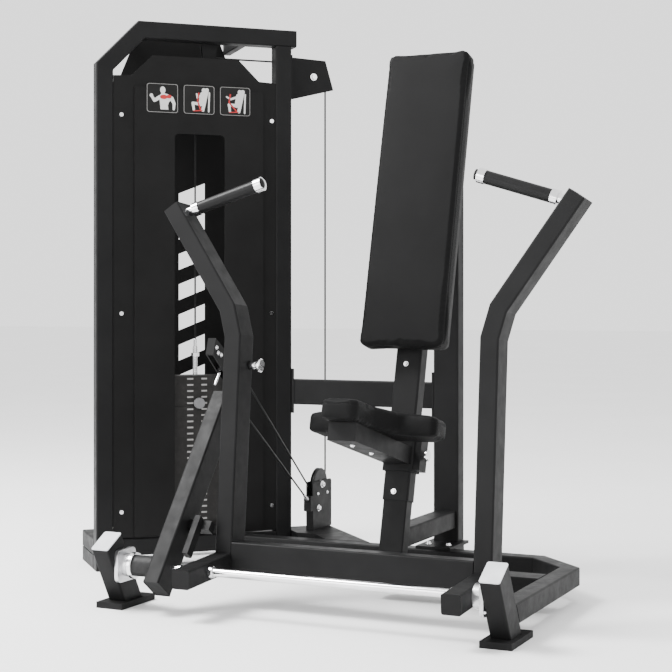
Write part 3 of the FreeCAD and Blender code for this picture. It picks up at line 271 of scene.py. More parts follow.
FINISHES["ink_white"] = printed("white_ink", (0.55, 0.55, 0.54), 0.5)
FINISHES["ink_grey"] = printed("grey_ink", (0.26, 0.255, 0.25), 0.5)
FINISHES["ink_red"] = printed("red_ink", (0.36, 0.004, 0.004), 0.5)

slot_of = {entry["node"]: entry["material_slot"] for entry in frame["record"]["subparts"]}
for node, thing in frame["nodes"].items():
    material = FINISHES[slot_of[node]]
    if not thing.material_slots:
        thing.data.materials.append(material)
    for slot in thing.material_slots:
        slot.material = material


# ---------------------------------------------------------------- making pieces

def new_piece(name, vertices, faces, finish, smooth=True):
    mesh = bpy.data.meshes.new(name)
    mesh.from_pydata([tuple(vertex) for vertex in vertices], [], faces)
    mesh.materials.append(FINISHES[finish])
    shape = bmesh.new()
    shape.from_mesh(mesh)
    bmesh.ops.remove_doubles(shape, verts=shape.verts, dist=1e-6)
    bmesh.ops.recalc_face_normals(shape, faces=shape.faces)
    shape.to_mesh(mesh)
    shape.free()
    for polygon in mesh.polygons:
        polygon.use_smooth = smooth
    piece = bpy.data.objects.new(name, mesh)
    bpy.context.scene.collection.objects.link(piece)
    return piece


def finished(piece, body):
    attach(piece, body)
    return piece


def sharpen(piece, degrees=35):
    """Marks the edges of hard shapes so that smooth shading stops at them."""
    shape = bmesh.new()
    shape.from_mesh(piece.data)
    limit = math.radians(degrees)
    for edge in shape.edges:
        if len(edge.link_faces) == 2 and edge.calc_face_angle() > limit:
            edge.smooth = False
    shape.to_mesh(piece.data)
    shape.free()


def frame_of(way):
    """Two directions square to a direction."""
    way = way.normalized()
    helper = UP if abs(way.dot(UP)) < 0.9 else RIGHT
    first = way.cross(helper).normalized()
    return first, way.cross(first)


def lathed(centre, way, profile, sides=40):
    """Vertices and faces of a turned shape; the profile is (radius, distance along the axis)."""
    first, second = frame_of(way)
    way = way.normalized()
    vertices, faces = [], []
    for radius, along in profile:
        for step in range(sides):
            angle = 2 * math.pi * step / sides
            vertices.append(centre + way * along + (first * math.cos(angle) + second * math.sin(angle)) * radius)
    for ring in range(len(profile) - 1):
        for step in range(sides):
            after = (step + 1) % sides
            faces.append((ring * sides + step, ring * sides + after, (ring + 1) * sides + after,
                          (ring + 1) * sides + step))
    faces.append(tuple(range(sides)))
    faces.append(tuple((len(profile) - 1) * sides + step for step in range(sides)))
    return vertices, faces


def together(*shapes):
    vertices, faces = [], []
    for more_vertices, more_faces in shapes:
        start = len(vertices)
        vertices += more_vertices
        faces += [tuple(index + start for index in face) for face in more_faces]
    return vertices, faces


def strand(points, radius, sides=12):
    """A cable's tube through points."""
    vertices, faces = [], []
    for index, point in enumerate(points):
        before = points[max(index - 1, 0)]
        after = points[min(index + 1, len(points) - 1)]
        first, second = frame_of(after - before)
        for step in range(sides):
            angle = 2 * math.pi * step / sides
            vertices.append(point + (first * math.cos(angle) + second * math.sin(angle)) * radius)
    for ring in range(len(points) - 1):
        for step in range(sides):
            after = (step + 1) % sides
            faces.append((ring * sides + step, ring * sides + after, (ring + 1) * sides + after,
                          (ring + 1) * sides + step))
    faces.append(tuple(range(sides)))
    faces.append(tuple((len(points) - 1) * sides + step for step in range(sides)))
    return vertices, faces


# ---------------------------------------------------------------- cushions

def cushion(name, node, out, up, rounding, cap, seam_depth, crown):
    """Swells a copy of the CAD pad as filled vinyl, flat on its board, with a seam round its front."""
    source = frame["nodes"][node]
    mesh = source.data.copy()
    mesh.name = name
    mesh.materials.clear()
    mesh.materials.append(FINISHES["pad_vinyl"])
    shape = bmesh.new()
    shape.from_mesh(mesh)
    bmesh.ops.remove_doubles(shape, verts=shape.verts, dist=1e-5)
    shape.to_mesh(mesh)
    shape.free()
    piece = bpy.data.objects.new(name, mesh)
    bpy.context.scene.collection.objects.link(piece)
    side = out.cross(up)
    lows, highs = [], []
    for way in (side, up, out):
        low, high = reach(node, way)
        lows.append(low)
        highs.append(high)
    half = [(high - low) / 2 for low, high in zip(lows, highs)]
    centre = sum(((low + high) / 2 * way for low, high, way in zip(lows, highs, (side, up, out))), Vector())
    skin = 3 * MM
    for vertex in mesh.vertices:
        place = vertex.co - centre
        moved = Vector()
        for way, size in zip((side, up, out), half):
            moved += way * place.dot(way) * (size - skin) / size
        vertex.co = centre + moved
    remesh = piece.modifiers.new("even_mesh", "REMESH")
    remesh.mode = "VOXEL"
    remesh.voxel_size = 5 * MM
    soften = piece.modifiers.new("soft_edges", "SMOOTH")
    soften.factor = 0.5
    soften.iterations = rounding
    bake(piece)
    rest = [vertex.co.copy() for vertex in piece.data.vertices]
    swell = piece.modifiers.new("swell", "CLOTH")
    swell.settings.use_pressure = True
    swell.settings.uniform_pressure_force = 4
    swell.settings.effector_weights.gravity = 0
    swell.settings.quality = 5
    scene = bpy.context.scene
    for step in range(1, 21):
        scene.frame_set(step)
    bake(piece)
    for vertex, start in zip(piece.data.vertices, rest):
        moved = vertex.co - start
        if moved.length > cap:
            vertex.co = start + moved * (cap / moved.length)
    scene.frame_set(1)
    divide = piece.modifiers.new("finer", "SUBSURF")
    divide.levels = divide.render_levels = 1
    bake(piece)
    face_low, face_high = lows[2], highs[2]
    for vertex in piece.data.vertices:
        place = [vertex.co.dot(way) for way in (side, up, out)]
        limits = [(place[0] - lows[0], highs[0] - place[0]), (place[1] - lows[1], highs[1] - place[1])]
        # the back lies flat against the board, and nothing stands out of the pad's space
        depth = min(max(place[2], face_low + 0.2 * MM), face_high)
        across = min(max(place[0], lows[0]), highs[0])
        along = min(max(place[1], lows[1]), highs[1])
        inset = min(min(pair) for pair in limits)
        if depth > face_low + 0.7 * (face_high - face_low):
            depth -= crown * max(0.0, 1 - max(inset, 0) / 0.09) ** 2
        # the sewn seam is a narrow groove round the sides
        under = face_high - depth - seam_depth
        groove = 1.3 * MM * math.exp(-(under / (2.2 * MM)) ** 2)
        if inset < 12 * MM and groove > 0.05 * MM:
            normal = vertex.normal
            flat = normal - out * normal.dot(out)
            if flat.length > 0.4:
                across -= flat.normalized().dot(side) * groove
                along -= flat.normalized().dot(up) * groove
        vertex.co = side * across + up * along + out * depth
    for polygon in piece.data.polygons:
        polygon.use_smooth = True
    return piece


def bake(piece):
    """Turns a piece's modifiers into its plain mesh."""
    bpy.context.view_layer.update()
    graph = bpy.context.evaluated_depsgraph_get()
    mesh = bpy.data.meshes.new_from_object(piece.evaluated_get(graph))
    piece.modifiers.clear()
    old = piece.data
    piece.data = mesh
    bpy.data.meshes.remove(old)


back_cushion = cushion("back_cushion", "back_pad", POST_OUT, POST_UP, 6, 7 * MM, 17 * MM, 2.5 * MM)
finished(back_cushion, "root")
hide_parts("back_pad")
seat_cushion = cushion("seat_cushion", "seat_pad", POST_UP, -POST_OUT, 9, 8 * MM, 16 * MM, 4 * MM)
finished(seat_cushion, "seat_carriage")
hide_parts("seat_pad")


# ---------------------------------------------------------------- cables

CABLE_RADIUS = 2.6 * MM
GROOVE_DEEP = 7 * MM
CABLE_CLEAR = 0.4 * MM
ANCHOR_RISE = 96 * MM


def bend_radius(node):
    low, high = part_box(node)
    return (high.z - low.z) / 2 - GROOVE_DEEP + CABLE_RADIUS + CABLE_CLEAR


def round_pulley(centre, radius, start, end, steps):
    """Points round a pulley whose axle runs from left to right; angles turn from +Y to +Z."""
    points = []
    for step in range(steps + 1):
        angle = start + (end - start) * step / steps
        points.append(centre + Vector((0, math.cos(angle), math.sin(angle))) * radius)
    return points


base_centre, lever_centre = middle("base_pulley"), middle("lever_pulley")
base_bend, lever_bend = bend_radius("base_pulley"), bend_radius("lever_pulley")
bracket_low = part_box("base_pulley_bracket")[0]
anchor = Vector((base_centre.x, bracket_low.y, bracket_low.z + ANCHOR_RISE))
gap = lever_centre - base_centre
pull_angle = math.atan2(gap.z, gap.y) - math.asin((base_bend + lever_bend) / gap.length)
base_leave = pull_angle + math.pi / 2 - 2 * math.pi
back_gap = anchor - lever_centre
back_angle = math.atan2(back_gap.z, back_gap.y) + math.asin(lever_bend / back_gap.length)
drop_start = Vector((base_centre.x, base_centre.y + base_bend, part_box("lever_cable")[1].z))
drop_points = [drop_start] + round_pulley(base_centre, base_bend, 0, base_leave, 36)
drop_cable = new_piece("drop_cable", *strand(drop_points, CABLE_RADIUS), "cable_jacket")
finished(drop_cable, "root")
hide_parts("lever_cable")


def stretching_strand(name, start, end):
    """A straight strand whose last part has close rings, because it lengthens as the lever swings away."""
    way = (end - start).normalized()
    long = (end - start).length
    turn = 0.15
    steps = [long - turn] + [long - turn + turn * step / 60 for step in range(1, 61)]
    points = [start] + [start + way * step for step in steps]
    piece = new_piece(name, *strand(points, CABLE_RADIUS), "cable_jacket")
    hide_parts("lever_cable")
    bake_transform(piece)
    return piece


leave_point = round_pulley(base_centre, base_bend, base_leave, base_leave, 1)[0]
pull_point = round_pulley(lever_centre, lever_bend, pull_angle - math.pi / 2, pull_angle - math.pi / 2, 1)[0]
return_point = round_pulley(lever_centre, lever_bend, back_angle - math.pi / 2, back_angle - math.pi / 2, 1)[0]
stretching_strand("pull_strand", leave_point, pull_point)
stretching_strand("return_strand", anchor, return_point)

rod_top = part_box("selector_rod")[1].z
stack_low, stack_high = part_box("stack_cable")
stack_axis = (stack_low + stack_high) / 2
span = stack_high.z - rod_top
rings = [Vector((stack_axis.x, stack_axis.y, rod_top + span * step / 12)) for step in range(13)]
stack_strand = new_piece("stack_strand", *strand(rings, CABLE_RADIUS), "cable_jacket")
finished(stack_strand, "root")
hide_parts("stack_cable")
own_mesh(stack_strand)

# the cable's crimped end and locknut on the selector rod, and the sleeve at the floor anchor
rod_radius = (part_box("selector_rod")[1].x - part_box("selector_rod")[0].x) / 2
rod_end = new_piece("rod_end_fitting", *together(
    lathed(Vector((stack_axis.x, stack_axis.y, rod_top - 12 * MM)), UP,
           [(rod_radius + 1 * MM, 0), (rod_radius + 5 * MM, 1 * MM), (rod_radius + 5 * MM, 11 * MM),
            (rod_radius + 1 * MM, 12 * MM)], 6),
    lathed(Vector((stack_axis.x, stack_axis.y, rod_top)), UP,
           [(7 * MM, 0), (7 * MM, 16 * MM), (4.6 * MM, 22 * MM), (4.6 * MM, 40 * MM), (3.2 * MM, 42 * MM)])),
    "chrome")
sharpen(rod_end)
finished(rod_end, "weight_stack")
anchor_way = (return_point - anchor).normalized()
anchor_end = new_piece("anchor_fitting", *together(
    lathed(anchor, anchor_way, [(6.5 * MM, 0), (6.5 * MM, 9 * MM), (4.4 * MM, 12 * MM), (4.4 * MM, 30 * MM),
                                (3.2 * MM, 32 * MM)])), "bearing_steel")
sharpen(anchor_end)
finished(anchor_end, "root")


# ---------------------------------------------------------------- bolts

def socket_of(tree, name):
    return next(item.identifier for item in tree.interface.items_tree
                if item.item_type == "SOCKET" and item.in_out == "INPUT" and item.name == name)


def bolt_tree():
    """Puts a socket-headed bolt with its washer on every point, turned along the point's way."""
    tree = bpy.data.node_groups.new("bolt_heads", "GeometryNodeTree")
    face = tree.interface
    face.new_socket("Geometry", in_out="INPUT", socket_type="NodeSocketGeometry")
    for name in ("Head radius", "Head height", "Socket radius", "Washer radius", "Washer height"):
        face.new_socket(name, in_out="INPUT", socket_type="NodeSocketFloat")
    face.new_socket("Finish", in_out="INPUT", socket_type="NodeSocketMaterial")
    face.new_socket("Geometry", in_out="OUTPUT", socket_type="NodeSocketGeometry")
    nodes, links = tree.nodes, tree.links
    given = nodes.new("NodeGroupInput")

    def solid(kind, top, bottom, height, sides, raised=None):
        node = nodes.new(kind)
        node.inputs["Vertices"].default_value = sides
        links.new(given.outputs[bottom], node.inputs["Radius Bottom"])
        links.new(given.outputs[height], node.inputs["Depth"])
        if isinstance(top, float):
            scaled = nodes.new("ShaderNodeMath")
            scaled.operation = "MULTIPLY"
            scaled.inputs[1].default_value = top
            links.new(given.outputs[bottom], scaled.inputs[0])
            links.new(scaled.outputs[0], node.inputs["Radius Top"])
        moved = nodes.new("GeometryNodeTransform")
        links.new(node.outputs["Mesh"], moved.inputs["Geometry"])
        if raised:
            lift = nodes.new("ShaderNodeCombineXYZ")
            links.new(given.outputs[raised], lift.inputs["Z"])
            links.new(lift.outputs["Vector"], moved.inputs["Translation"])
        return moved.outputs["Geometry"]

    washer = solid("GeometryNodeMeshCone", 0.96, "Washer radius", "Washer height", 32)
    head = solid("GeometryNodeMeshCone", 0.8, "Head radius", "Head height", 32, "Washer height")
    hole = solid("GeometryNodeMeshCone", 1.0, "Socket radius", "Head height", 6, "Head height")
    carve = nodes.new("GeometryNodeMeshBoolean")
    carve.operation = "DIFFERENCE"
    links.new(head, carve.inputs["Mesh 1"])
    links.new(hole, carve.inputs["Mesh 2"])
    bolt = nodes.new("GeometryNodeJoinGeometry")
    links.new(washer, bolt.inputs["Geometry"])
    links.new(carve.outputs["Mesh"], bolt.inputs["Geometry"])
    way = nodes.new("GeometryNodeInputNamedAttribute")
    way.data_type = "FLOAT_VECTOR"
    way.inputs["Name"].default_value = "way"
    size = nodes.new("GeometryNodeInputNamedAttribute")
    size.data_type = "FLOAT"
    size.inputs["Name"].default_value = "size"
    aim = nodes.new("FunctionNodeAlignRotationToVector")
    aim.axis = "Z"
    links.new(way.outputs["Attribute"], aim.inputs["Vector"])
    place = nodes.new("GeometryNodeInstanceOnPoints")
    links.new(given.outputs["Geometry"], place.inputs["Points"])
    links.new(bolt.outputs["Geometry"], place.inputs["Instance"])
    links.new(aim.outputs["Rotation"], place.inputs["Rotation"])
    links.new(size.outputs["Attribute"], place.inputs["Scale"])
    real = nodes.new("GeometryNodeRealizeInstances")
    links.new(place.outputs["Instances"], real.inputs["Geometry"])
    paint = nodes.new("GeometryNodeSetMaterial")
    links.new(real.outputs["Geometry"], paint.inputs["Geometry"])
    links.new(given.outputs["Finish"], paint.inputs["Material"])
    out = nodes.new("NodeGroupOutput")
    links.new(paint.outputs["Geometry"], out.inputs["Geometry"])
    return tree


BOLTS = bolt_tree()


def scattered(name, tree, spots, body, slot, settings):
    """A plain mesh of a node tree's shapes on spots of (place, way, size)."""
    mesh = bpy.data.meshes.new(name + "_spots")
    mesh.from_pydata([tuple(place) for place, way, size in spots], [], [])
    mesh.attributes.new("way", "FLOAT_VECTOR", "POINT")
    mesh.attributes.new("size", "FLOAT", "POINT")
    for index, (place, way, size) in enumerate(spots):
        mesh.attributes["way"].data[index].vector = way
        mesh.attributes["size"].data[index].value = size
    piece = bpy.data.objects.new(name, mesh)
    bpy.context.scene.collection.objects.link(piece)
    modifier = piece.modifiers.new(name, "NODES")
    modifier.node_group = tree
    for socket, value in settings.items():
        modifier[socket_of(tree, socket)] = value
    modifier[socket_of(tree, "Finish")] = FINISHES[slot]
    bake(piece)
    for attribute in ("way", "size"):
        if attribute in piece.data.attributes:
            piece.data.attributes.remove(piece.data.attributes[attribute])
    for polygon in piece.data.polygons:
        polygon.use_smooth = True
    sharpen(piece)
    return finished(piece, body)


BOLT_SIZES = {"Head radius": 7.5 * MM, "Head height": 5 * MM, "Socket radius": 3.2 * MM, "Washer radius": 10 * MM,
              "Washer height": 1.6 * MM}
post_low = reach("seat_post", POST_UP)[0]
post_face = reach("seat_post", POST_OUT)[1]
post_x = middle("seat_post").x
bolts = [(on_post(post_x - 5 * MM, post_face, post_low + rise), POST_OUT, 0.72) for rise in (22 * MM, 368 * MM)]
plate_low, plate_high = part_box("upright_foot")
bolts += [(Vector((post_x + side * 30 * MM, plate_low.y + 46 * MM, plate_high.z)), UP, 0.9) for side in (-1, 1)]
bracket_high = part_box("base_pulley_bracket")[1]
for back, up, size in ((0, 0, 1.1), (-26 * MM, -70 * MM, 1.0), (-30 * MM, -26 * MM, 0.5), (36 * MM, -28 * MM, 0.5)):
    for face, way in ((bracket_high.x, RIGHT), (bracket_low.x, -RIGHT)):
        bolts.append((Vector((face, base_centre.y + back, base_centre.z + up)), way, size))
side_middle = middle("side_pulley")
side_plate = side_middle + FORWARD * (12 * MM)
bolts.append((side_plate, FORWARD, 1.1))
FLANGE_REACH = 30 * MM
bearing_low, bearing_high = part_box("pivot_bearings")
centre = (bearing_low + bearing_high) / 2
for face, way in ((bearing_low.x, -RIGHT), (bearing_high.x, RIGHT)):
    for across in (-1, 1):
        for rise in (-1, 1):
            spot = Vector((face, centre.y + across * FLANGE_REACH, centre.z + rise * FLANGE_REACH))
            bolts.append((spot, way, 0.6))
scattered("frame_bolts", BOLTS, bolts, "root", "chrome", BOLT_SIZES)

block_high, block_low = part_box("lever_pulley_block")[1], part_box("lever_pulley_block")[0]
block_spots = []
for face, way in ((block_high.x, RIGHT), (block_low.x, -RIGHT)):
    block_spots.append((Vector((face, lever_centre.y, lever_centre.z)), way, 1.0))
    for back, up in ((-110 * MM, 88 * MM), (-102 * MM, 73 * MM), (-86 * MM, 67 * MM)):
        block_spots.append((Vector((face, lever_centre.y + back, lever_centre.z + up)), way, 0.6))
scattered("arm_bolts", BOLTS, block_spots, "press_arm", "chrome", BOLT_SIZES)

carriage_out = reach("seat_carriage", POST_OUT)[1]
under = min(vertex.co.dot(POST_UP) for vertex in frame["nodes"]["seat_carriage"].data.vertices
            if vertex.co.dot(POST_OUT) > carriage_out - 5 * MM)
screws = [(on_post(post_x, carriage_out - out, under), -POST_UP, 0.7) for out in (70 * MM, 190 * MM)]
scattered("seat_screws", BOLTS, screws, "seat_carriage", "chrome", BOLT_SIZES)


# ---------------------------------------------------------------- weight plates' marks

def strip_tree():
    """Puts a thin printed strip on every point, with its face along the point's way."""
    tree = bpy.data.node_groups.new("plate_strips", "GeometryNodeTree")
    face = tree.interface
    face.new_socket("Geometry", in_out="INPUT", socket_type="NodeSocketGeometry")
    for name in ("Width", "Height", "Thickness"):
        face.new_socket(name, in_out="INPUT", socket_type="NodeSocketFloat")
    face.new_socket("Finish", in_out="INPUT", socket_type="NodeSocketMaterial")
    face.new_socket("Geometry", in_out="OUTPUT", socket_type="NodeSocketGeometry")
    nodes, links = tree.nodes, tree.links
    given = nodes.new("NodeGroupInput")
    size = nodes.new("ShaderNodeCombineXYZ")
    for name, axis in (("Width", "X"), ("Thickness", "Y"), ("Height", "Z")):
        links.new(given.outputs[name], size.inputs[axis])
    block = nodes.new("GeometryNodeMeshCube")
    links.new(size.outputs["Vector"], block.inputs["Size"])
    way = nodes.new("GeometryNodeInputNamedAttribute")
    way.data_type = "FLOAT_VECTOR"
    way.inputs["Name"].default_value = "way"
    wide = nodes.new("GeometryNodeInputNamedAttribute")
    wide.data_type = "FLOAT"
    wide.inputs["Name"].default_value = "size"
    aim = nodes.new("FunctionNodeAlignRotationToVector")
    aim.axis = "Y"
    aim.pivot_axis = "Z"
    links.new(way.outputs["Attribute"], aim.inputs["Vector"])
    scale = nodes.new("ShaderNodeCombineXYZ")
    links.new(wide.outputs["Attribute"], scale.inputs["X"])
    scale.inputs["Y"].default_value = 1
    scale.inputs["Z"].default_value = 1
    place = nodes.new("GeometryNodeInstanceOnPoints")
    links.new(given.outputs["Geometry"], place.inputs["Points"])
    links.new(block.outputs["Mesh"], place.inputs["Instance"])
    links.new(aim.outputs["Rotation"], place.inputs["Rotation"])
    links.new(scale.outputs["Vector"], place.inputs["Scale"])
    real = nodes.new("GeometryNodeRealizeInstances")
    links.new(place.outputs["Instances"], real.inputs["Geometry"])
    paint = nodes.new("GeometryNodeSetMaterial")
    links.new(real.outputs["Geometry"], paint.inputs["Geometry"])
    links.new(given.outputs["Finish"], paint.inputs["Material"])
    out = nodes.new("NodeGroupOutput")
    links.new(paint.outputs["Geometry"], out.inputs["Geometry"])
    return tree


STRIPS = strip_tree()
STRIP_SIZES = {"Width": 17 * MM, "Height": 4.8 * MM, "Thickness": 0.6 * MM}
RESTING = 20
LIFTED = 5
resting_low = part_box("resting_plates")[0].z
lifted_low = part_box("lifted_plates")[0].z
pitch = (lifted_low - resting_low) / RESTING
plate_face = reach("resting_plates", FORWARD)[1] + 0.2 * MM
plate_middle = sum(reach("resting_plates", ACROSS)) / 2


# ---------------------------------------------------------------- exercise cards

card_left, card_right = reach("exercise_cards", ACROSS)
card_face = reach("exercise_cards", FORWARD)[1]
card_low, card_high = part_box("exercise_cards")[0].z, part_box("exercise_cards")[1].z
CARD_WIDE = 95 * MM
card_step = (card_right - card_left - CARD_WIDE) / 2
card_tall = card_high - card_low


def flat_shape(outline, layer, card):
    """A thin printed film; outline points run from -1 to 1 across and up the card."""
    centre = card_left + CARD_WIDE / 2 + card_step * card
    middle_z = (card_low + card_high) / 2
    front = card_face + (0.12 + 0.06 * layer) * MM
    back = card_face - 0.05 * MM
    vertices = []
    for depth in (back, front):
        for across, up in outline:
            vertices.append(on_tower(centre + across * CARD_WIDE / 2, depth, middle_z + up * card_tall / 2))
    count = len(outline)
    faces = [tuple(range(count)), tuple(range(count, 2 * count))]
    faces += [(index, (index + 1) % count, (index + 1) % count + count, index + count)
              for index in range(count)]
    return vertices, faces


def limb(start, end, start_radius, end_radius, steps=8):
    """A tapered bar with round ends, as outline points."""
    along = Vector(end) - Vector(start)
    turn = math.atan2(along.y, along.x)
    points = []
    for centre, radius, begin in ((end, end_radius, turn - math.pi / 2), (start, start_radius, turn + math.pi / 2)):
        for step in range(steps + 1):
            angle = begin + math.pi * step / steps
            points.append((centre[0] + radius * math.cos(angle), centre[1] + radius * math.sin(angle)))
    return points


def disc(centre, wide, tall, steps=20):
    return [(centre[0] + wide * math.cos(2 * math.pi * step / steps),
             centre[1] + tall * math.sin(2 * math.pi * step / steps)) for step in range(steps)]


def rounded_square(size, radius, steps=6):
    points = []
    for corner, (x, y) in enumerate(((1, 1), (-1, 1), (-1, -1), (1, -1))):
        for step in range(steps + 1):
            angle = math.pi / 2 * (corner + step / steps)
            points.append((x * (size - radius) + radius * math.cos(angle),
                           y * (size - radius) + radius * math.sin(angle)))
    return points


def card_border(card):
    """A thin printed line round a card."""
    outer, inner = rounded_square(0.985, 0.16), rounded_square(0.96, 0.14)
    centre = card_left + CARD_WIDE / 2 + card_step * card
    middle_z = (card_low + card_high) / 2
    vertices = []
    for outline in (outer, inner):
        for depth in (card_face - 0.05 * MM, card_face + 0.15 * MM):
            for across, up in outline:
                vertices.append(on_tower(centre + across * CARD_WIDE / 2, depth, middle_z + up * card_tall / 2))
    count = len(outer)
    faces = []
    for index in range(count):
        after = (index + 1) % count
        outer_back, outer_front, inner_back, inner_front = 0, count, 2 * count, 3 * count
        faces.append((outer_front + index, outer_front + after, inner_front + after, inner_front + index))
        faces.append((outer_back + index, outer_back + after, inner_back + after, inner_back + index))
        faces.append((outer_back + index, outer_back + after, outer_front + after, outer_front + index))
        faces.append((inner_back + index, inner_back + after, inner_front + after, inner_front + index))
    return vertices, faces


borders = new_piece("card_borders", *together(*[card_border(card) for card in range(3)]), "ink_grey", False)
finished(borders, "root")

# card 0 shows an upper body, cards 1 and 2 a person seated against a pad, arms back and arms out
torso = [(-0.12, -0.78), (-0.16, -0.3), (-0.2, 0.12), (-0.08, 0.3), (0.3, 0.3), (0.6, 0.14), (0.62, -0.1),
         (0.42, -0.24), (0.34, -0.5), (0.38, -0.78)]
white_shapes = [
    (0, disc((0.02, 0.56), 0.17, 0.24)), (0, limb((0.02, 0.4), (0.06, 0.26), 0.1, 0.13)), (0, torso),
    (0, limb((-0.16, 0.06), (-0.5, -0.18), 0.13, 0.11)), (0, limb((-0.5, -0.18), (-0.7, 0.12), 0.1, 0.08)),
    (0, disc((-0.7, 0.16), 0.11, 0.12)), (0, limb((0.58, 0.02), (0.74, -0.36), 0.12, 0.1)),
    (0, limb((0.74, -0.36), (0.72, -0.74), 0.09, 0.07)),
]
red_shapes = [(0, disc((0.08, 0.08), 0.24, 0.15)), (0, disc((0.42, 0.12), 0.16, 0.13))]
for card, lean in ((1, 0.0), (2, -0.1)):
    white_shapes += [
        (card, limb((0.24, -0.72), (0.5, 0.7), 0.1, 0.13)), (card, disc((0.3, 0.66), 0.13, 0.16)),
        (card, limb((0.22, 0.4), (0.1, -0.3), 0.15, 0.14)), (card, limb((0.1, -0.3), (-0.4, -0.24), 0.12, 0.09)),
        (card, limb((-0.4, -0.24), (-0.34, -0.72), 0.09, 0.07)),
        (card, limb((0.16, 0.32), (-0.1 + 2 * lean, 0.14), 0.08, 0.07)),
        (card, limb((-0.1 + 2 * lean, 0.14), (-0.16 + 4 * lean, 0.4 + lean), 0.06, 0.05)),
        (card, limb((0.62, -0.8), (0.66, 0.5), 0.05, 0.05)),
    ]
    red_shapes += [
        (card, limb((-0.02 + 3 * lean, 0.46), (-0.1 + 3 * lean, -0.1), 0.045, 0.045)),
        (card, limb((-0.1 + 3 * lean, -0.1), (0.1, -0.7), 0.045, 0.045)),
        (card, limb((-0.36, -0.78), (0.2, -0.74), 0.035, 0.035)),
    ]
white = new_piece("card_figures", *together(*[flat_shape(outline, index % 8, card)
                                              for index, (card, outline) in enumerate(white_shapes)]),
                  "ink_white", False)
finished(white, "root")
red = new_piece("card_highlights", *together(*[flat_shape(outline, 9 + index % 3, card)
                                               for index, (card, outline) in enumerate(red_shapes)]),
                "ink_red", False)
finished(red, "root")


def marked(name, spots, body):
    """Printed strips on the weight plates."""
    piece = scattered(name, STRIPS, spots, body, "stack_iron", STRIP_SIZES)
    piece.data.materials.clear()
    piece.data.materials.append(FINISHES["ink_grey"])
    return piece


for name, first, count, body in (("resting_marks", 0, RESTING, "root"),
                                 ("lifted_marks", RESTING, LIFTED, "weight_stack")):
    spots = []
    for number in range(first, first + count):
        z = resting_low + pitch * (number + 0.5)
        spots.append((on_tower(plate_middle + 17 * MM, plate_face, z), FORWARD, 1.0))
        spots.append((on_tower(plate_middle - 26 * MM, plate_face, z), FORWARD, 1.1))
    marked(name, spots, body)


# ---------------------------------------------------------------- small fittings

def handle_ends():
    """The black disc in the end of each chrome handle cap."""
    shapes = []
    vertices = [vertex.co for vertex in frame["nodes"]["handle_bars"].data.vertices]
    slope = math.radians(17.3)
    lean = math.radians(5)
    centre_x = middle("handle_bars").x
    for side in (-1, 1):
        way = Vector((-side * math.cos(slope), -math.sin(slope) * math.sin(lean), math.sin(slope) * math.cos(lean)))
        own = [vertex for vertex in vertices if (vertex.x - centre_x) * side > 0]
        far = max(vertex.dot(way) for vertex in own)
        rim = [vertex for vertex in own if vertex.dot(way) > far - 0.2 * MM]
        centre = sum(rim, Vector()) / len(rim)
        shapes.append(lathed(centre, way, [(13.5 * MM, -0.2 * MM), (13.5 * MM, 0.8 * MM), (11 * MM, 1.6 * MM),
                                           (4 * MM, 1.6 * MM), (3.5 * MM, 0.9 * MM)]))
    piece = new_piece("handle_end_discs", *together(*shapes), "grip_rubber")
    sharpen(piece)
    return finished(piece, "press_arm")


handle_ends()


LEVER_LEAN = math.radians(37.4)
ARM_WIDE = 48 * MM
SHAFT_RADIUS = 11 * MM


def lever_plug():
    """The flat plug that closes the lever tube's lower end."""
    way = Vector((0, -math.sin(LEVER_LEAN), -math.cos(LEVER_LEAN)))
    out = Vector((0, -math.cos(LEVER_LEAN), math.sin(LEVER_LEAN)))
    left, right = reach("lever_tube", RIGHT)
    back, front = reach("lever_tube", out)
    end = reach("lever_tube", way)[1]
    wall = 1.5 * MM
    vertices = []
    for along in (end - 6 * MM, end - 1 * MM):
        for across, depth in ((left, back), (right, back), (right, front), (left, front)):
            across += wall if across == left else -wall
            depth += wall if depth == back else -wall
            vertices.append(RIGHT * across + out * depth + way * along)
    faces = [(0, 1, 2, 3), (4, 5, 6, 7), (0, 1, 5, 4), (1, 2, 6, 5), (2, 3, 7, 6), (3, 0, 4, 7)]
    return finished(new_piece("lever_plug", vertices, faces, "frame_paint", False), "press_arm")


def shaft_collars():
    """Set collars on the pivot shaft: one at the left end of the hub sleeve, beside the bearing there, and a small
    one inside each arm shoe.
    """
    low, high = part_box("pivot_bearings")
    centre = (low + high) / 2
    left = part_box("hub_sleeve")[0].x
    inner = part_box("arm_shoes")[0].x + ARM_WIDE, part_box("arm_shoes")[1].x - ARM_WIDE
    hole = SHAFT_RADIUS - 0.5 * MM
    shapes = []
    for start, way, radius, long in ((left - 7 * MM, RIGHT, 34 * MM, 12 * MM), (inner[0], RIGHT, 15 * MM, 14 * MM),
                                     (inner[1], -RIGHT, 15 * MM, 14 * MM)):
        place = Vector((start, centre.y, centre.z))
        shapes.append(lathed(place, way, [(hole, 0), (radius - 1.5 * MM, 0), (radius, 1.5 * MM),
                                          (radius, long - 1.5 * MM), (radius - 1.5 * MM, long), (hole, long)]))
    piece = new_piece("shaft_collars", *together(*shapes), "chrome")
    sharpen(piece)
    return finished(piece, "press_arm")


def knob_barrel():
    """The plated barrel that holds the arm's pull knob."""
    low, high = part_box("arm_pull_pin")
    place = Vector((low.x, (low.y + high.y) / 2, (low.z + high.z) / 2))
    piece = new_piece("knob_barrel", *lathed(place, RIGHT, [
        (9.6 * MM, 0), (9.6 * MM, 12 * MM), (8.4 * MM, 15 * MM), (5.4 * MM, 15 * MM)]), "chrome")
    sharpen(piece)
    return finished(piece, "press_arm")


lever_plug()
shaft_collars()
knob_barrel()


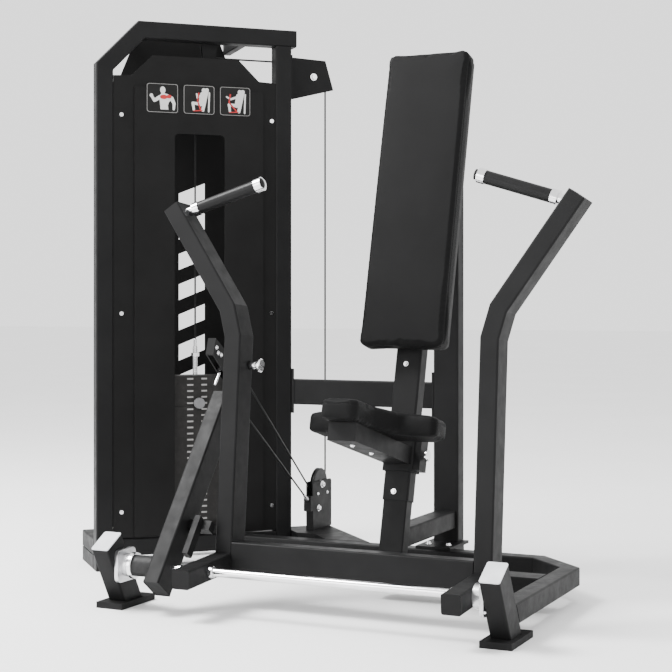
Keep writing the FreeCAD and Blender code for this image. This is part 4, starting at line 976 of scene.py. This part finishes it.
def pulley_hubs():
    """A steel bearing ring let into each side of the pulleys."""
    for node, way, body in (("top_pulley", FORWARD, "top_pulley"), ("side_pulley", FORWARD, "side_pulley"),
                            ("base_pulley", RIGHT, "base_pulley"), ("lever_pulley", RIGHT, "lever_pulley")):
        low, high = reach(node, way)
        centre = middle(node)
        shapes = []
        for face, out in ((high, way), (low, -way)):
            start = centre + way * (face - centre.dot(way))
            shapes.append(lathed(start, out, [(13 * MM, -0.3 * MM), (13 * MM, 0.4 * MM), (11.5 * MM, 0.7 * MM),
                                              (9 * MM, 0.7 * MM), (8.5 * MM, 0.2 * MM)]))
        piece = new_piece(node + "_bearing", *together(*shapes), "bearing_steel")
        sharpen(piece)
        finished(piece, body)


pulley_hubs()


# ---------------------------------------------------------------- floor and light

def floor_finish():
    finish = Finish("pale_floor", Metallic=0.0)
    clouds = finish.spread(finish.noise(0.9, 3), 0, 1)
    finish.feed("Base Color", finish.blend(clouds, (0.9, 0.9, 0.9), (0.93, 0.93, 0.93)))
    finish.feed("Roughness", finish.spread(finish.noise(0.05, 2), 0.8, 0.9))
    finish.relief(finish.noise(0.01, 2), 0.00005, 0.3)
    return finish.material


FINISHES["floor"] = floor_finish()
FLOOR = 40.0
floor = new_piece("floor", [(-FLOOR, -FLOOR, 0), (FLOOR, -FLOOR, 0), (FLOOR, FLOOR, 0), (-FLOOR, FLOOR, 0)],
                  [(0, 1, 2, 3)], "floor", False)

world = bpy.data.worlds.new("studio")
world.use_nodes = True
world.node_tree.nodes["Background"].inputs["Color"].default_value = (1, 1, 1, 1)
world.node_tree.nodes["Background"].inputs["Strength"].default_value = 1.8
bpy.context.scene.world = world


def soft_light(name, place, target, size, power):
    data = bpy.data.lights.new(name, "AREA")
    data.shape = "RECTANGLE"
    data.size, data.size_y = size
    data.energy = power
    lamp = bpy.data.objects.new(name, data)
    lamp.location = place
    lamp.rotation_euler = (Vector(target) - Vector(place)).to_track_quat("-Z", "Y").to_euler()
    bpy.context.scene.collection.objects.link(lamp)


soft_light("front_window", (-2.4, -5.0, 1.6), (-0.2, 0, 0.7), (2.5, 2.5), 110)
soft_light("overhead", (-2.3, -1.4, 4.0), (-0.3, -0.2, 0.3), (1.8, 1.8), 520)
soft_light("right_fill", (4.2, -1.6, 2.2), (0, 0, 0.8), (2, 3), 25)
